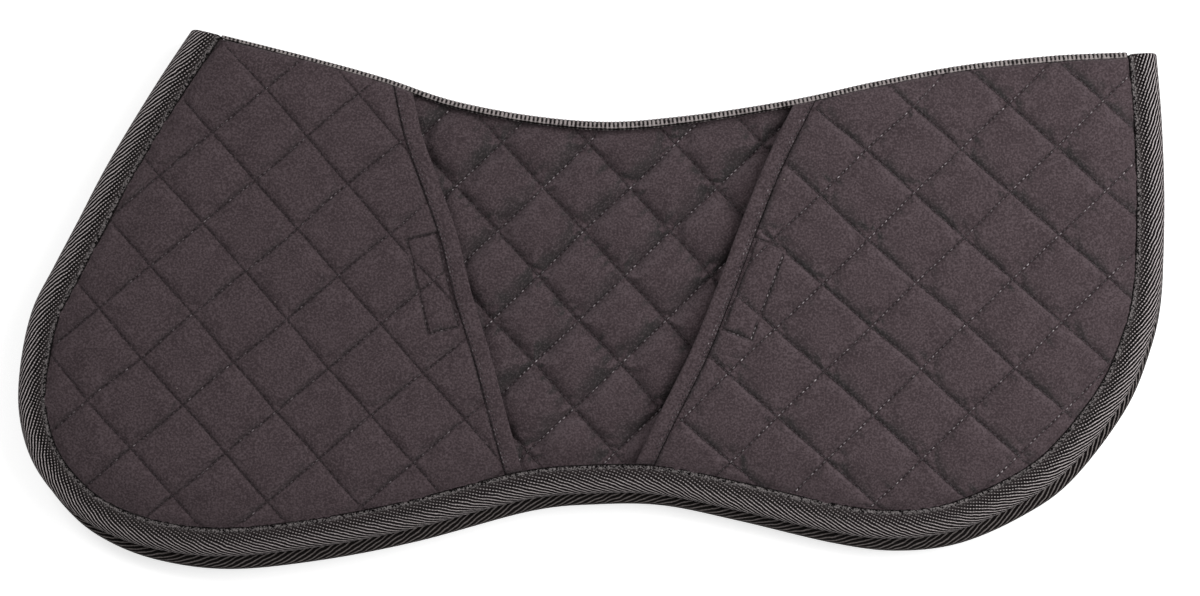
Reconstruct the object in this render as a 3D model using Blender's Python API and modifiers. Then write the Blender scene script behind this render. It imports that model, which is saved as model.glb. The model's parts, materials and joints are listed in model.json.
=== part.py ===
"""A quilted half pad for under a saddle, folded flat along its spine.

Metres, +Z up. The pad lies on its far half. +X runs to the rear, +Y to the spine and +Z from the far half to
the near half. Each half is a stack of lining, wadding and quilted cloth, with a front and a rear pocket on
it. A foam shim slides out of each pocket, and the near half opens upward about the spine like a book cover.
"""

import math

import bmesh
import bpy
from mathutils import Matrix, Vector

# Overall sizes of one half, seen flat
PAD_LENGTH = 0.620
NEAR_DROP = 0.283
FAR_SHOWS = 0.0075
FAR_LEAN = 0.004

# Clearances
FACE_GAP = 0.0002
SEWN_GAP = 0.0003
SHIM_PLAY = 0.0004
SHIM_SIDE_PLAY = 0.002

# Thickness of each layer, from the plane between the halves outwards
LINING = 0.0012
WADDING = 0.0033
BASE_CLOTH = 0.0027
LOOP_PATCH = 0.0007
SHIM = 0.0040
HOOK_PATCH = 0.0007
POCKET_CLOTH = 0.0030
HEM = 0.0020
HEM_DROP = 0.0010

# Sewn edges
BINDING_WIDTH = 0.016
BINDING_CLOTH = 0.0012
HEM_WIDTH = 0.0093
RIM_CLOTH = 0.0008
RIM_WIDTH = 0.023
FALL_WIDTH = 0.016
CENTRE_IN = 0.004
TAPE_WIDTH = 0.0036
TAPE_THICKNESS = 0.0050
TAPE_GAP = 0.0005

# Hook and loop patches at the mouths
TAB_WIDTH = 0.0165
TAB_LENGTH = 0.052
TAB_INSET = 0.0015

# Quilting
GROOVE = 0.0016
CENTRE_GROOVE = 0.0018
CENTRE_SINK = 0.0002
SLOPE_SHARE = 0.22

# Shims
SHIM_TOP_BELOW_FOLD = 0.136
SHIM_BEHIND_TAB = 0.004
SHIM_ROUND = 0.0010

# Fold axis above the line through the two ends of the spine
FOLD_RISE = 0.008

# Heights above the plane between the halves
LINING_TOP = FACE_GAP + LINING
WADDING_FOOT = LINING_TOP + SEWN_GAP
WADDING_TOP = WADDING_FOOT + WADDING
BASE_FOOT = WADDING_TOP + SEWN_GAP
BASE_TOP = BASE_FOOT + BASE_CLOTH
POCKET_FOOT = BASE_TOP + SEWN_GAP
LOOP_TOP = POCKET_FOOT + LOOP_PATCH
SHIM_FOOT = LOOP_TOP + SHIM_PLAY
SHIM_TOP = SHIM_FOOT + SHIM
HOOK_FOOT = SHIM_TOP + SHIM_PLAY
HOOK_TOP = HOOK_FOOT + HOOK_PATCH
CEILING = HOOK_TOP + SEWN_GAP
CROWN_TOP = CEILING + POCKET_CLOTH
RIM_TOP = POCKET_FOOT + RIM_CLOTH
BINDING_FOOT = RIM_TOP + SEWN_GAP
BINDING_TOP = BINDING_FOOT + BINDING_CLOTH
HEM_TOP = CROWN_TOP - HEM_DROP
HEM_END_TOP = POCKET_FOOT + HEM
MIDDLE = CROWN_TOP

# How far a cutter runs past what it cuts, and a line past its last point
OVERRUN = 0.004
CORNER_RUN = 0.030

# Points of a smooth line for each span between two given points, and the least share of a span
# between a corner and the next point
SAMPLES_PER_SPAN = 2
CORNER_KEEP = 0.02

WELD = 1e-6
SHARP_ANGLE = 40.0
AXIS_MARK = 0.02

# Outlines, in shares of the length from the front end and of the drop from the top corner.
# Each runs with the cloth it bounds on its left.
EDGE = (
    (0.149, 0.000), (0.118, 0.103), (0.078, 0.248), (0.051, 0.361), (0.030, 0.448), (0.012, 0.527),
    (0.002, 0.624), (0.000, 0.720), (0.010, 0.809), (0.032, 0.882), (0.063, 0.939), (0.110, 0.981),
    (0.174, 1.000), (0.252, 0.985), (0.339, 0.950), (0.440, 0.893), (0.499, 0.880), (0.557, 0.882),
    (0.622, 0.910), (0.706, 0.952), (0.761, 0.966), (0.816, 0.952), (0.872, 0.901), (0.916, 0.834),
    (0.963, 0.706), (0.986, 0.595), (0.997, 0.492), (1.000, 0.338), (0.998, 0.181), (0.993, 0.038),
)
SEAM = (
    (0.970, 0.044), (0.899, 0.051), (0.821, 0.072), (0.747, 0.105), (0.675, 0.141), (0.586, 0.174),
    (0.516, 0.187), (0.447, 0.174), (0.378, 0.141), (0.319, 0.095), (0.259, 0.055), (0.176, 0.010),
)
FRONT_STITCH = (
    (0.426, 0.849), (0.412, 0.739), (0.398, 0.624), (0.382, 0.510), (0.369, 0.395), (0.354, 0.300),
    (0.338, 0.200), (0.328, 0.101),
)
REAR_STITCH = (
    (0.692, 0.139), (0.665, 0.258), (0.644, 0.372), (0.623, 0.494), (0.600, 0.618), (0.572, 0.741),
    (0.554, 0.824),
)
SEAM_DIP = 0.19
FRONT_TAB_AT = 0.470
REAR_TAB_AT = 0.477

# Sides of a quilted diamond: one rises to the rear and one falls to the rear
FRONT_RISING_SIDE = 0.0364
FRONT_FALLING_SIDE = 0.0344
REAR_RISING_SIDE = 0.0349
REAR_FALLING_SIDE = 0.0352
CENTRE_RISING_SIDE = 0.0344
CENTRE_FALLING_SIDE = 0.0327

# Quilting of each panel: a crossing of stitch lines, then each side of a diamond and its angle
FRONT_QUILT = ((0.190, 0.628), FRONT_RISING_SIDE, 39.6, FRONT_FALLING_SIDE, -48.8)
REAR_QUILT = ((0.783, 0.475), REAR_RISING_SIDE, 44.1, REAR_FALLING_SIDE, -41.3)
CENTRE_QUILT = ((0.529, 0.464), CENTRE_RISING_SIDE, 43.8, CENTRE_FALLING_SIDE, -47.4)

# Cell of the net that carries the hem's bend
HEM_CELL_LONG = 0.014
HEM_CELL_WIDE = 0.020

CLOTH = (0.066, 0.050, 0.053, 1.0)
TWILL = (0.060, 0.054, 0.056, 1.0)
LINING_CLOTH = (0.055, 0.045, 0.047, 1.0)
TAPE_CLOTH = (0.110, 0.100, 0.102, 1.0)
HOOK_PILE = (0.030, 0.028, 0.028, 1.0)
LOOP_PILE = (0.035, 0.032, 0.032, 1.0)
FOAM = (0.120, 0.120, 0.125, 1.0)
FIBRE = (0.650, 0.640, 0.620, 1.0)


def clear_scene():
    """Remove every object, and the meshes and curves that they used."""
    for obj in list(bpy.data.objects):
        bpy.data.objects.remove(obj)
    for store in (bpy.data.meshes, bpy.data.curves, bpy.data.materials, bpy.data.collections):
        for block in list(store):
            store.remove(block)


def make_material(name, colour, roughness):
    """A Principled material of one colour."""
    material = bpy.data.materials.new(name)
    material.use_nodes = True
    shader = material.node_tree.nodes["Principled BSDF"]
    shader.inputs["Base Color"].default_value = colour
    shader.inputs["Roughness"].default_value = roughness
    shader.inputs["Metallic"].default_value = 0.0
    material.diffuse_color = colour
    return material


def smooth_line(points, samples=SAMPLES_PER_SPAN):
    """A smooth run through the points, with straight ends CORNER_RUN long past its first and last point."""
    line = []
    last = len(points) - 1
    for i in range(last):
        before = points[max(i - 1, 0)]
        start = points[i]
        end = points[i + 1]
        after = points[min(i + 2, last)]
        for step in range(samples):
            t = step / samples
            line.append(
                0.5
                * (
                    2 * start
                    + (end - before) * t
                    + (2 * before - 5 * start + 4 * end - after) * t * t
                    + (3 * start - before - 3 * end + after) * t ** 3
                )
            )
    line.append(points[last])
    head = line[0] + (line[0] - line[1]).normalized() * CORNER_RUN
    tail = line[-1] + (line[-1] - line[-2]).normalized() * CORNER_RUN
    return [head] + line + [tail]


def left_normals(line):
    """The unit normal on the left of the line at each of its points."""
    normals = []
    for i in range(len(line)):
        along = line[min(i + 1, len(line) - 1)] - line[max(i - 1, 0)]
        normals.append(Vector((-along.y, along.x)).normalized())
    return normals


def moved_in(line, distance):
    """The line moved to its left by a distance, or to its right where that is negative."""
    return [point + normal * distance for point, normal in zip(line, left_normals(line))]


def depth_inside(line, point):
    """How far a point lies on the left of the line: negative on its right."""
    best = None
    for start, end in zip(line, line[1:]):
        along = end - start
        share = max(0.0, min(1.0, (point - start).dot(along) / along.length_squared))
        away = point - (start + along * share)
        distance = away.length
        if best is None or distance < abs(best):
            side = along.x * (point - start).y - along.y * (point - start).x
            best = distance if side >= 0 else -distance
    return best


def crossing(first, second):
    """Where the first line gives way to the second in a left turn: how far along each, and the point."""
    for i in range(len(first) - 1):
        a = first[i + 1] - first[i]
        for k in range(len(second) - 1):
            b = second[k + 1] - second[k]
            cross = a.x * b.y - a.y * b.x
            if cross <= 0:
                continue
            gap = second[k] - first[i]
            s = (gap.x * b.y - gap.y * b.x) / cross
            t = (gap.x * a.y - gap.y * a.x) / cross
            if 0 <= s <= 1 and 0 <= t <= 1:
                return i + s, k + t, first[i] + a * s
    raise ValueError("two outlines that should meet do not cross")


def closed_outline(lines):
    """The closed shape that the lines bound, each cut where it crosses the one before and the one after."""
    outline = []
    for i, line in enumerate(lines):
        _, start, corner = crossing(lines[i - 1], line)
        end, _, _ = crossing(line, lines[(i + 1) % len(lines)])
        outline.append(corner)
        outline += [
            point for k, point in enumerate(line) if start + CORNER_KEEP < k < end - CORNER_KEEP
        ]
    return outline


class Half:
    """The lines that every piece of one half is measured from."""

    def __init__(self, name, side, shows, lean, moved):
        """side is 1 for the near half, above the plane between the halves, and -1 for the far one."""
        self.name = name
        self.side = side
        self.shows = shows
        self.lean = lean
        self.moved = moved
        self.edge = smooth_line(self.places(EDGE))
        self.seam = smooth_line(self.places(SEAM))
        self.mouths = {
            "front": smooth_line(self.places(FRONT_STITCH)),
            "rear": smooth_line(self.places(REAR_STITCH)),
        }

    def place(self, along, down):
        """A point given as shares of the length and of the drop."""
        share = max(0.0, down - SEAM_DIP) / (1 - SEAM_DIP)
        x = (along - 0.5) * PAD_LENGTH + self.lean * share
        y = (0.5 - down) * NEAR_DROP - self.shows * share
        return Vector((x, y)) + self.moved

    def places(self, shares):
        """The points given by a list of such shares."""
        return [self.place(*share) for share in shares]

    def z(self, height):
        """The world height of a height above the plane between the halves."""
        return MIDDLE + self.side * height


def piece(collection, name, data, material):
    """An object in a collection, with its material."""
    obj = bpy.data.objects.new(name, data)
    collection.objects.link(obj)
    if not data.materials:
        data.materials.append(material)
    return obj


def flat_shape(collection, name, outline, half, low, high, material):
    """An outline with a thickness, as a filled 2D curve: low and high are heights in the half."""
    curve = bpy.data.curves.new(name, "CURVE")
    curve.dimensions = "2D"
    curve.fill_mode = "BOTH"
    curve.extrude = (high - low) / 2
    spline = curve.splines.new("POLY")
    spline.points.add(len(outline) - 1)
    for point, place in zip(spline.points, outline):
        point.co = (place.x, place.y, 0.0, 1.0)
    spline.use_cyclic_u = True
    obj = piece(collection, name, curve, material)
    obj.location.z = half.z((low + high) / 2)
    return obj


def as_mesh(obj):
    """The same object with its curve made a closed mesh."""
    bpy.context.view_layer.update()
    evaluated = obj.evaluated_get(bpy.context.evaluated_depsgraph_get())
    mesh = bpy.data.meshes.new_from_object(evaluated)
    bm = bmesh.new()
    bm.from_mesh(mesh)
    bmesh.ops.remove_doubles(bm, verts=bm.verts, dist=WELD)
    bmesh.ops.recalc_face_normals(bm, faces=bm.faces)
    bm.to_mesh(mesh)
    bm.free()
    name = obj.name
    material = obj.data.materials[0]
    collection = obj.users_collection[0]
    place = obj.matrix_world.copy()
    bpy.data.objects.remove(obj)
    made = piece(collection, name, mesh, material)
    made.matrix_world = place
    return made


def solid(collection, name, outline, half, low, high, material):
    """A flat shape as a mesh, ready for Booleans."""
    return as_mesh(flat_shape(collection, name, outline, half, low, high, material))


def cut(obj, cutter, operation):
    """Add a Boolean with one cutter, which the build leaves out."""
    cutter.hide_render = True
    cutter.display_type = "WIRE"
    boolean = obj.modifiers.new(cutter.name, "BOOLEAN")
    boolean.operation = operation
    boolean.solver = "EXACT"
    boolean.object = cutter
    return obj


class Net:
    """A net of cells on two slanted directions, from one crossing: it carries a surface's heights."""

    def __init__(self, origin, long_side, long_angle, wide_side, wide_angle, stations):
        self.origin = origin
        self.a = Vector((math.cos(long_angle), math.sin(long_angle))) * long_side
        self.b = Vector((math.cos(wide_angle), math.sin(wide_angle))) * wide_side
        self.stations = stations

    def shares(self, outline):
        """The stations along each side that cover an outline."""
        turn = self.a.x * self.b.y - self.a.y * self.b.x
        along = []
        across = []
        for point in outline:
            gap = point - self.origin
            along.append((gap.x * self.b.y - gap.y * self.b.x) / turn)
            across.append((self.a.x * gap.y - self.a.y * gap.x) / turn)
        spans = []
        for values in (along, across):
            cells = range(math.floor(min(values)), math.ceil(max(values)) + 1)
            spans.append([cell + station for cell in cells for station in self.stations])
        return spans


def is_stitched(share):
    """Whether a station lies on a line of stitches."""
    return abs(share - round(share)) < WELD


def net_slab(collection, name, net, outline, half, top, bottom, material):
    """A slab whose two faces follow the net: top and bottom turn a point and is_stitched into a height."""
    long_stations, wide_stations = net.shares(outline)
    bm = bmesh.new()
    layers = []
    for height in (bottom, top):
        rows = []
        for s in long_stations:
            row = []
            for t in wide_stations:
                point = net.origin + net.a * s + net.b * t
                level = height(point, is_stitched(s) or is_stitched(t))
                row.append(bm.verts.new((point.x, point.y, half.side * level)))
            rows.append(row)
        layers.append(rows)
    low, high = layers
    rows = len(long_stations) - 1
    columns = len(wide_stations) - 1
    for i in range(rows):
        for k in range(columns):
            for layer in layers:
                bm.faces.new((layer[i][k], layer[i + 1][k], layer[i + 1][k + 1], layer[i][k + 1]))
    rim = [(i, 0) for i in range(rows)] + [(rows, k) for k in range(columns)]
    rim += [(i, columns) for i in range(rows, 0, -1)] + [(0, k) for k in range(columns, 0, -1)]
    for (i, k), (m, n) in zip(rim, rim[1:] + rim[:1]):
        bm.faces.new((low[i][k], low[m][n], high[m][n], high[i][k]))
    bmesh.ops.recalc_face_normals(bm, faces=bm.faces)
    mesh = bpy.data.meshes.new(name)
    bm.to_mesh(mesh)
    bm.free()
    obj = piece(collection, name, mesh, material)
    obj.location.z = MIDDLE
    return obj


def quilt_net(quilt, half):
    """The net of one panel's quilting, with two stations beside each line of stitches."""
    crossing_at, long_side, long_angle, wide_side, wide_angle = quilt
    return Net(
        half.place(*crossing_at),
        long_side,
        math.radians(long_angle),
        wide_side,
        math.radians(wide_angle),
        (0.0, SLOPE_SHARE, 1 - SLOPE_SHARE),
    )


def crown_share(half, point):
    """0 at a sewn edge and 1 where the cloth has its full height."""
    inside = min(depth_inside(half.edge, point) - BINDING_WIDTH, depth_inside(half.seam, point))
    t = max(0.0, min(1.0, inside / FALL_WIDTH))
    return t * t * (3 - 2 * t)


def add_layers(half, parts, cutters, looks):
    """Lining, wadding, base cloth with its quilted centre, and binding."""
    bound = BINDING_CLOTH + SEWN_GAP
    inner = BINDING_WIDTH + SEWN_GAP
    seam = half.seam
    name = half.name
    full = closed_outline([moved_in(half.edge, bound), seam])
    lined = closed_outline([moved_in(half.edge, inner), seam])
    pieces = [
        flat_shape(parts, f"{name}_lining", lined, half, FACE_GAP, LINING_TOP, looks["lining"]),
        flat_shape(parts, f"{name}_wadding", full, half, WADDING_FOOT, WADDING_TOP, looks["fibre"]),
    ]

    base = solid(parts, f"{name}_base_panel", full, half, BASE_FOOT, BASE_TOP, looks["cloth"])
    centre = closed_outline(
        [
            moved_in(half.edge, inner),
            moved_in(half.mouths["rear"][::-1], HEM_WIDTH),
            moved_in(half.seam, CENTRE_IN),
            moved_in(half.mouths["front"][::-1], HEM_WIDTH),
        ]
    )

    def quilted(point, stitched):
        return BASE_TOP - CENTRE_SINK - (CENTRE_GROOVE if stitched else 0.0)

    net = quilt_net(CENTRE_QUILT, half)
    high = BASE_TOP + 2 * OVERRUN
    relief = net_slab(
        cutters, f"{name}_centre_relief", net, centre, half, lambda point, stitched: high, quilted,
        looks["cloth"],
    )
    window = solid(
        cutters, f"{name}_centre_window", centre, half, BASE_FOOT - OVERRUN, BASE_TOP + OVERRUN,
        looks["cloth"],
    )
    cut(relief, window, "INTERSECT")
    pieces.append(cut(base, relief, "DIFFERENCE"))

    block = closed_outline([half.edge, seam, moved_in(half.edge, BINDING_WIDTH)[::-1], seam])
    binding = solid(parts, f"{name}_binding", block, half, FACE_GAP, BINDING_TOP, looks["twill"])
    past = moved_in(half.seam, -OVERRUN)
    room = closed_outline(
        [
            moved_in(half.edge, BINDING_CLOTH),
            past,
            moved_in(half.edge, BINDING_WIDTH + OVERRUN)[::-1],
            past,
        ]
    )
    channel = solid(
        cutters, f"{name}_binding_channel", room, half, FACE_GAP + BINDING_CLOTH, BINDING_FOOT,
        looks["twill"],
    )
    pieces.append(cut(binding, channel, "DIFFERENCE"))
    return pieces


def pocket_outline(half, end, edge_in, seam_in, mouth_in):
    """The shape of a pocket's panel, moved in from the edge, the seam and the mouth."""
    return closed_outline(pocket_lines(half, end, edge_in, seam_in, mouth_in))


def pocket_lines(half, end, edge_in, seam_in, mouth_in):
    """The three lines round a pocket, in the order that a closed outline needs."""
    edge = moved_in(half.edge, edge_in)
    seam = moved_in(half.seam, seam_in)
    mouth = moved_in(half.mouths[end], mouth_in)
    return [edge, mouth, seam] if end == "front" else [edge, seam, mouth]


def tab_frame(half, end, at):
    """The point of a mouth's stitch line that is level with its tab, and the line's direction there."""
    line = half.mouths[end]
    level = half.place(0.5, at).y
    for start, stop in zip(line, line[1:]):
        if (start.y - level) * (stop.y - level) <= 0:
            along = stop - start
            return start + along * ((level - start.y) / along.y), along.normalized()
    raise ValueError("the tab lies past the end of its mouth")


def tab_outline(half, end, at):
    """The rectangle of a hook or loop patch beside the mouth's stitch line."""
    centre, along = tab_frame(half, end, at)
    inward = Vector((-along.y, along.x))
    near_side = centre + inward * TAB_INSET
    far_side = centre + inward * (TAB_INSET + TAB_WIDTH)
    reach = along * (TAB_LENGTH / 2)
    return [near_side + reach, far_side + reach, far_side - reach, near_side - reach]


def add_ledge(half, cutters, looks):
    """The cutter that presses the pockets' cloth down under the binding."""
    past = moved_in(half.seam, -OVERRUN)
    inner = moved_in(half.edge, BINDING_WIDTH + SEWN_GAP)
    strip = closed_outline([moved_in(half.edge, -OVERRUN), past, inner[::-1], past])
    return solid(
        cutters, f"{half.name}_ledge", strip, half, RIM_TOP, CROWN_TOP + 2 * OVERRUN, looks["cloth"]
    )


def add_pocket(half, end, quilt, tab_at, ledge, parts, cutters, looks):
    """A pocket's panel, hem and patches."""
    name = f"{half.name}_{end}"
    bound = BINDING_CLOTH + SEWN_GAP
    shape = pocket_outline(half, end, bound, 0.0, SEWN_GAP)

    def crowned(point, stitched):
        share = crown_share(half, point)
        return RIM_TOP + (CROWN_TOP - RIM_TOP - (GROOVE if stitched else 0.0)) * share

    low = POCKET_FOOT - OVERRUN
    panel = solid(
        parts, f"{name}_pocket", shape, half, POCKET_FOOT, CROWN_TOP + OVERRUN, looks["cloth"]
    )
    relief = net_slab(
        cutters, f"{name}_relief", quilt_net(quilt, half), shape, half, crowned,
        lambda point, stitched: low, looks["cloth"],
    )
    cut(panel, relief, "INTERSECT")
    room = pocket_outline(half, end, BINDING_WIDTH + RIM_WIDTH, RIM_WIDTH, -HEM_WIDTH)
    cavity = solid(cutters, f"{name}_cavity", room, half, low, CEILING, looks["cloth"])
    cut(panel, cavity, "DIFFERENCE")
    cut(panel, ledge, "DIFFERENCE")

    stitch = half.mouths[end]
    fold = moved_in(stitch, -HEM_WIDTH)
    seam = moved_in(half.seam, SEWN_GAP)
    edge = moved_in(half.edge, BINDING_WIDTH + SEWN_GAP)
    back = stitch[::-1]
    strip = closed_outline([edge, fold, seam, back] if end == "front" else [edge, back, seam, fold])

    def hem_top(point, stitched):
        return HEM_END_TOP + (HEM_TOP - HEM_END_TOP) * crown_share(half, point)

    def hem_foot(point, stitched):
        return hem_top(point, stitched) - HEM

    along = (stitch[-1] - stitch[0]).normalized()
    angle = math.atan2(along.y, along.x)
    middle = (stitch[0] + stitch[-1]) / 2
    net = Net(middle, HEM_CELL_LONG, angle, HEM_CELL_WIDE, angle - math.pi / 2, (0.0,))
    hem = net_slab(parts, f"{name}_hem", net, strip, half, hem_top, hem_foot, looks["cloth"])
    window = solid(cutters, f"{name}_hem_window", strip, half, 0.0, CROWN_TOP + OVERRUN, looks["cloth"])
    cut(hem, window, "INTERSECT")

    tab = tab_outline(half, end, tab_at)
    hook = flat_shape(parts, f"{name}_hook", tab, half, HOOK_FOOT, HOOK_TOP, looks["hook"])
    loop = flat_shape(parts, f"{name}_loop", tab, half, POCKET_FOOT, LOOP_TOP, looks["loop"])
    return [panel, hem, hook, loop]


def add_shim(half, end, parts, looks):
    """The foam shim in a pocket: below the line where the spine bends, and behind the patches."""
    fold_start, fold_end = fold_line()
    along = (fold_end - fold_start).normalized()
    down = Vector((along.y, -along.x))
    low_start = fold_start + down * SHIM_TOP_BELOW_FOLD - along * PAD_LENGTH
    low_end = fold_end + down * SHIM_TOP_BELOW_FOLD + along * PAD_LENGTH
    edge_in = BINDING_WIDTH + RIM_WIDTH + SHIM_SIDE_PLAY
    mouth_in = TAB_INSET + TAB_WIDTH + SHIM_BEHIND_TAB
    lines = pocket_lines(half, end, edge_in, 0.0, mouth_in)
    lines[2 if end == "front" else 1] = [low_end, low_start]
    outline = closed_outline(lines)
    shim = solid(parts, f"{half.name}_{end}_shim", outline, half, SHIM_FOOT, SHIM_TOP, looks["foam"])
    rounded = shim.modifiers.new("rounded", "BEVEL")
    rounded.width = SHIM_ROUND
    rounded.segments = 1
    rounded.limit_method = "ANGLE"
    rounded.angle_limit = math.radians(SHARP_ANGLE)
    return shim


def fold_line():
    """The fold axis, seen flat: past the line through the two ends of the spine."""
    start = NEAR.place(*EDGE[0])
    end = NEAR.place(*EDGE[-1])
    along = (end - start).normalized()
    up = Vector((-along.y, along.x)) * FOLD_RISE
    return start + up, end + up


def add_axis(name, place, parts, parent=None):
    """An empty on a joint's axis."""
    empty = bpy.data.objects.new(name, None)
    empty.empty_display_size = AXIS_MARK
    parts.objects.link(empty)
    empty.location = place
    if parent:
        empty.parent = parent
        empty.matrix_parent_inverse = Matrix.Translation(-parent.location)
    return empty


def hang_on(empty, pieces):
    """Parent pieces to an axis without moving them."""
    for obj in pieces:
        obj.parent = empty
        obj.matrix_parent_inverse = Matrix.Translation(-empty.location)


def add_spine_tape(parts, looks):
    """The tape between the two halves, just above the cloth's edge."""
    foot = moved_in(NEAR.seam, -TAPE_GAP)
    top = moved_in(NEAR.seam, -TAPE_GAP - TAPE_WIDTH)
    side = BINDING_WIDTH + SEWN_GAP
    ends = moved_in(NEAR.edge, side)
    outline = closed_outline([ends, top, ends, foot[::-1]])
    reach = TAPE_THICKNESS / 2
    return flat_shape(parts, "spine_tape", outline, NEAR, -reach, reach, looks["tape"])


def both_halves(moved):
    """The lines of the near half and of the far one, moved together."""
    return Half("near", 1, 0.0, 0.0, moved), Half("far", -1, FAR_SHOWS, FAR_LEAN, moved)


def middle_shift(near, far):
    """The move that puts the middle of both halves' outlines over the origin."""
    points = closed_outline([near.edge, near.seam]) + closed_outline([far.edge, far.seam])
    xs = [point.x for point in points]
    ys = [point.y for point in points]
    return -Vector(((min(xs) + max(xs)) / 2, (min(ys) + max(ys)) / 2))


def build():
    """Make every piece, and hang what moves on its axis."""
    parts = bpy.data.collections.new("half_pad")
    cutters = bpy.data.collections.new("cutters")
    for collection in (parts, cutters):
        bpy.context.scene.collection.children.link(collection)
    looks = {
        "cloth": make_material("quilted_cotton", CLOTH, 0.85),
        "twill": make_material("twill_tape", TWILL, 0.7),
        "lining": make_material("lining_cotton", LINING_CLOTH, 0.9),
        "tape": make_material("ribbed_tape", TAPE_CLOTH, 0.8),
        "hook": make_material("hook_patch", HOOK_PILE, 0.6),
        "loop": make_material("loop_patch", LOOP_PILE, 0.95),
        "foam": make_material("shim_foam", FOAM, 0.9),
        "fibre": make_material("wadding_fibre", FIBRE, 0.95),
    }
    start, end = fold_line()
    middle = (start + end) / 2
    spine_axis = add_axis("spine_fold_axis", (middle.x, middle.y, MIDDLE), parts)
    near_axis = add_axis("near_fold_axis", (middle.x, middle.y, MIDDLE), parts, spine_axis)
    hang_on(spine_axis, [add_spine_tape(parts, looks)])
    for half in (FAR, NEAR):
        pieces = add_layers(half, parts, cutters, looks)
        ledge = add_ledge(half, cutters, looks)
        for end, quilt, tab_at in (("front", FRONT_QUILT, FRONT_TAB_AT), ("rear", REAR_QUILT, REAR_TAB_AT)):
            pieces += add_pocket(half, end, quilt, tab_at, ledge, parts, cutters, looks)
            centre, _ = tab_frame(half, end, tab_at)
            rail = add_axis(
                f"{half.name}_{end}_slide_axis",
                (centre.x, centre.y, half.z((SHIM_FOOT + SHIM_TOP) / 2)),
                parts,
                near_axis if half is NEAR else None,
            )
            hang_on(rail, [add_shim(half, end, parts, looks)])
        if half is NEAR:
            hang_on(near_axis, pieces)


clear_scene()
NEAR, FAR = both_halves(middle_shift(*both_halves(Vector((0.0, 0.0)))))
build()
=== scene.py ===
"""Looks of a quilted half pad for under a saddle, folded flat along its spine.

Metres, +Z up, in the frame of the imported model. +X runs to the rear, +Y to the spine and +Z from the far half
to the near half. Heights inside a half are measured from the plane between the two halves outwards.
"""

import json
import logging
import math
from dataclasses import dataclass, field
from enum import Enum
from typing import Callable

import bpy
import numpy as np
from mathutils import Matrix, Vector
from mathutils.geometry import delaunay_2d_cdt


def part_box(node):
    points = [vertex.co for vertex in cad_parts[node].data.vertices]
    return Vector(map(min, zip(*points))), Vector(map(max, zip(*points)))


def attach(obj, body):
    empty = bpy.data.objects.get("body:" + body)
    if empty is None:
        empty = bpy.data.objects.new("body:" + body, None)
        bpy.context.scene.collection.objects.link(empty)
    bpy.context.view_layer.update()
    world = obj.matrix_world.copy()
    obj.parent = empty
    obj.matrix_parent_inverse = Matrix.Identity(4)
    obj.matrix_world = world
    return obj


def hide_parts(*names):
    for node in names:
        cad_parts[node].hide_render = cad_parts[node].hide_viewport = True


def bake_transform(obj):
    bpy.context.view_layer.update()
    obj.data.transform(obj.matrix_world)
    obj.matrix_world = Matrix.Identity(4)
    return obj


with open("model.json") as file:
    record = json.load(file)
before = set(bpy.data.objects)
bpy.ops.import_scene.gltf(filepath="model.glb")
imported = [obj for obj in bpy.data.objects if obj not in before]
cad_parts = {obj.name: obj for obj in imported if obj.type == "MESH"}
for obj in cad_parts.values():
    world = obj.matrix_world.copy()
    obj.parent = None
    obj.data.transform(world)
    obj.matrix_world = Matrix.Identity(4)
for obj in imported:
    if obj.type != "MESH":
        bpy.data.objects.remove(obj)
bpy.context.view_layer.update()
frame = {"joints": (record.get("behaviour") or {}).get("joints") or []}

log = logging.getLogger("half_pad")
Points = np.ndarray
Values = dict[str, np.ndarray]
Sizes = tuple[float, ...]
Pairs = tuple[tuple[float, float], ...]
Rows = tuple[Sizes, ...]
Piece = bpy.types.Object

# Overall sizes of one half, seen flat
PAD_LENGTH = 0.620
NEAR_DROP = 0.283
FAR_SHOWS = 0.0075
FAR_LEAN = 0.004
SEAM_DIP = 0.19

# Sewn edges
BINDING_WIDTH = 0.016
HEM_WIDTH = 0.0093
SEWN_GAP = 0.0003

# Lines are drawn with a point about this far apart, and run on past their last point
LINE_STEP = 0.0015
SPLINE_SAMPLES = 24
CORNER_RUN = 0.030
CORNER_KEEP = 0.35

# A point of a ring inside a rim is kept where no side is nearer than this share of the ring's depth
RING_KEEP = 0.95

# How many points of a line are passed over in the first look for the nearest one, and the shortest length
SEARCH_STRIDE = 8
TINY = 1e-9

# How a shape is cut into triangles: only inside its rim, with points that are nearer than this made one
INSIDE_RIM = 1
SAME_POINT = 1e-7

# What turns the numbers of a grid cell and a seed into a random value that is the same on every run
HASH_TURNS = (127.1, 311.7, 74.7)
HASH_GAIN = 43758.5453

# Outlines, in shares of the length from the front end and of the drop from the top corner.
# Each runs with the cloth it bounds on its left.
EDGE = (
    (0.149, 0.000), (0.118, 0.103), (0.078, 0.248), (0.051, 0.361), (0.030, 0.448), (0.012, 0.527),
    (0.002, 0.624), (0.000, 0.720), (0.010, 0.809), (0.032, 0.882), (0.063, 0.939), (0.110, 0.981),
    (0.174, 1.000), (0.252, 0.985), (0.339, 0.950), (0.440, 0.893), (0.499, 0.880), (0.557, 0.882),
    (0.622, 0.910), (0.706, 0.952), (0.761, 0.966), (0.816, 0.952), (0.872, 0.901), (0.916, 0.834),
    (0.963, 0.706), (0.986, 0.595), (0.997, 0.492), (1.000, 0.338), (0.998, 0.181), (0.993, 0.038),
)
SEAM = (
    (0.970, 0.046), (0.899, 0.055), (0.821, 0.072), (0.747, 0.102), (0.675, 0.137), (0.586, 0.169),
    (0.516, 0.182), (0.447, 0.169), (0.378, 0.138), (0.319, 0.093), (0.259, 0.055), (0.176, 0.010),
)
FRONT_STITCH = (
    (0.426, 0.849), (0.412, 0.739), (0.398, 0.624), (0.382, 0.510), (0.369, 0.395), (0.354, 0.300),
    (0.338, 0.200), (0.328, 0.101),
)
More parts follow.
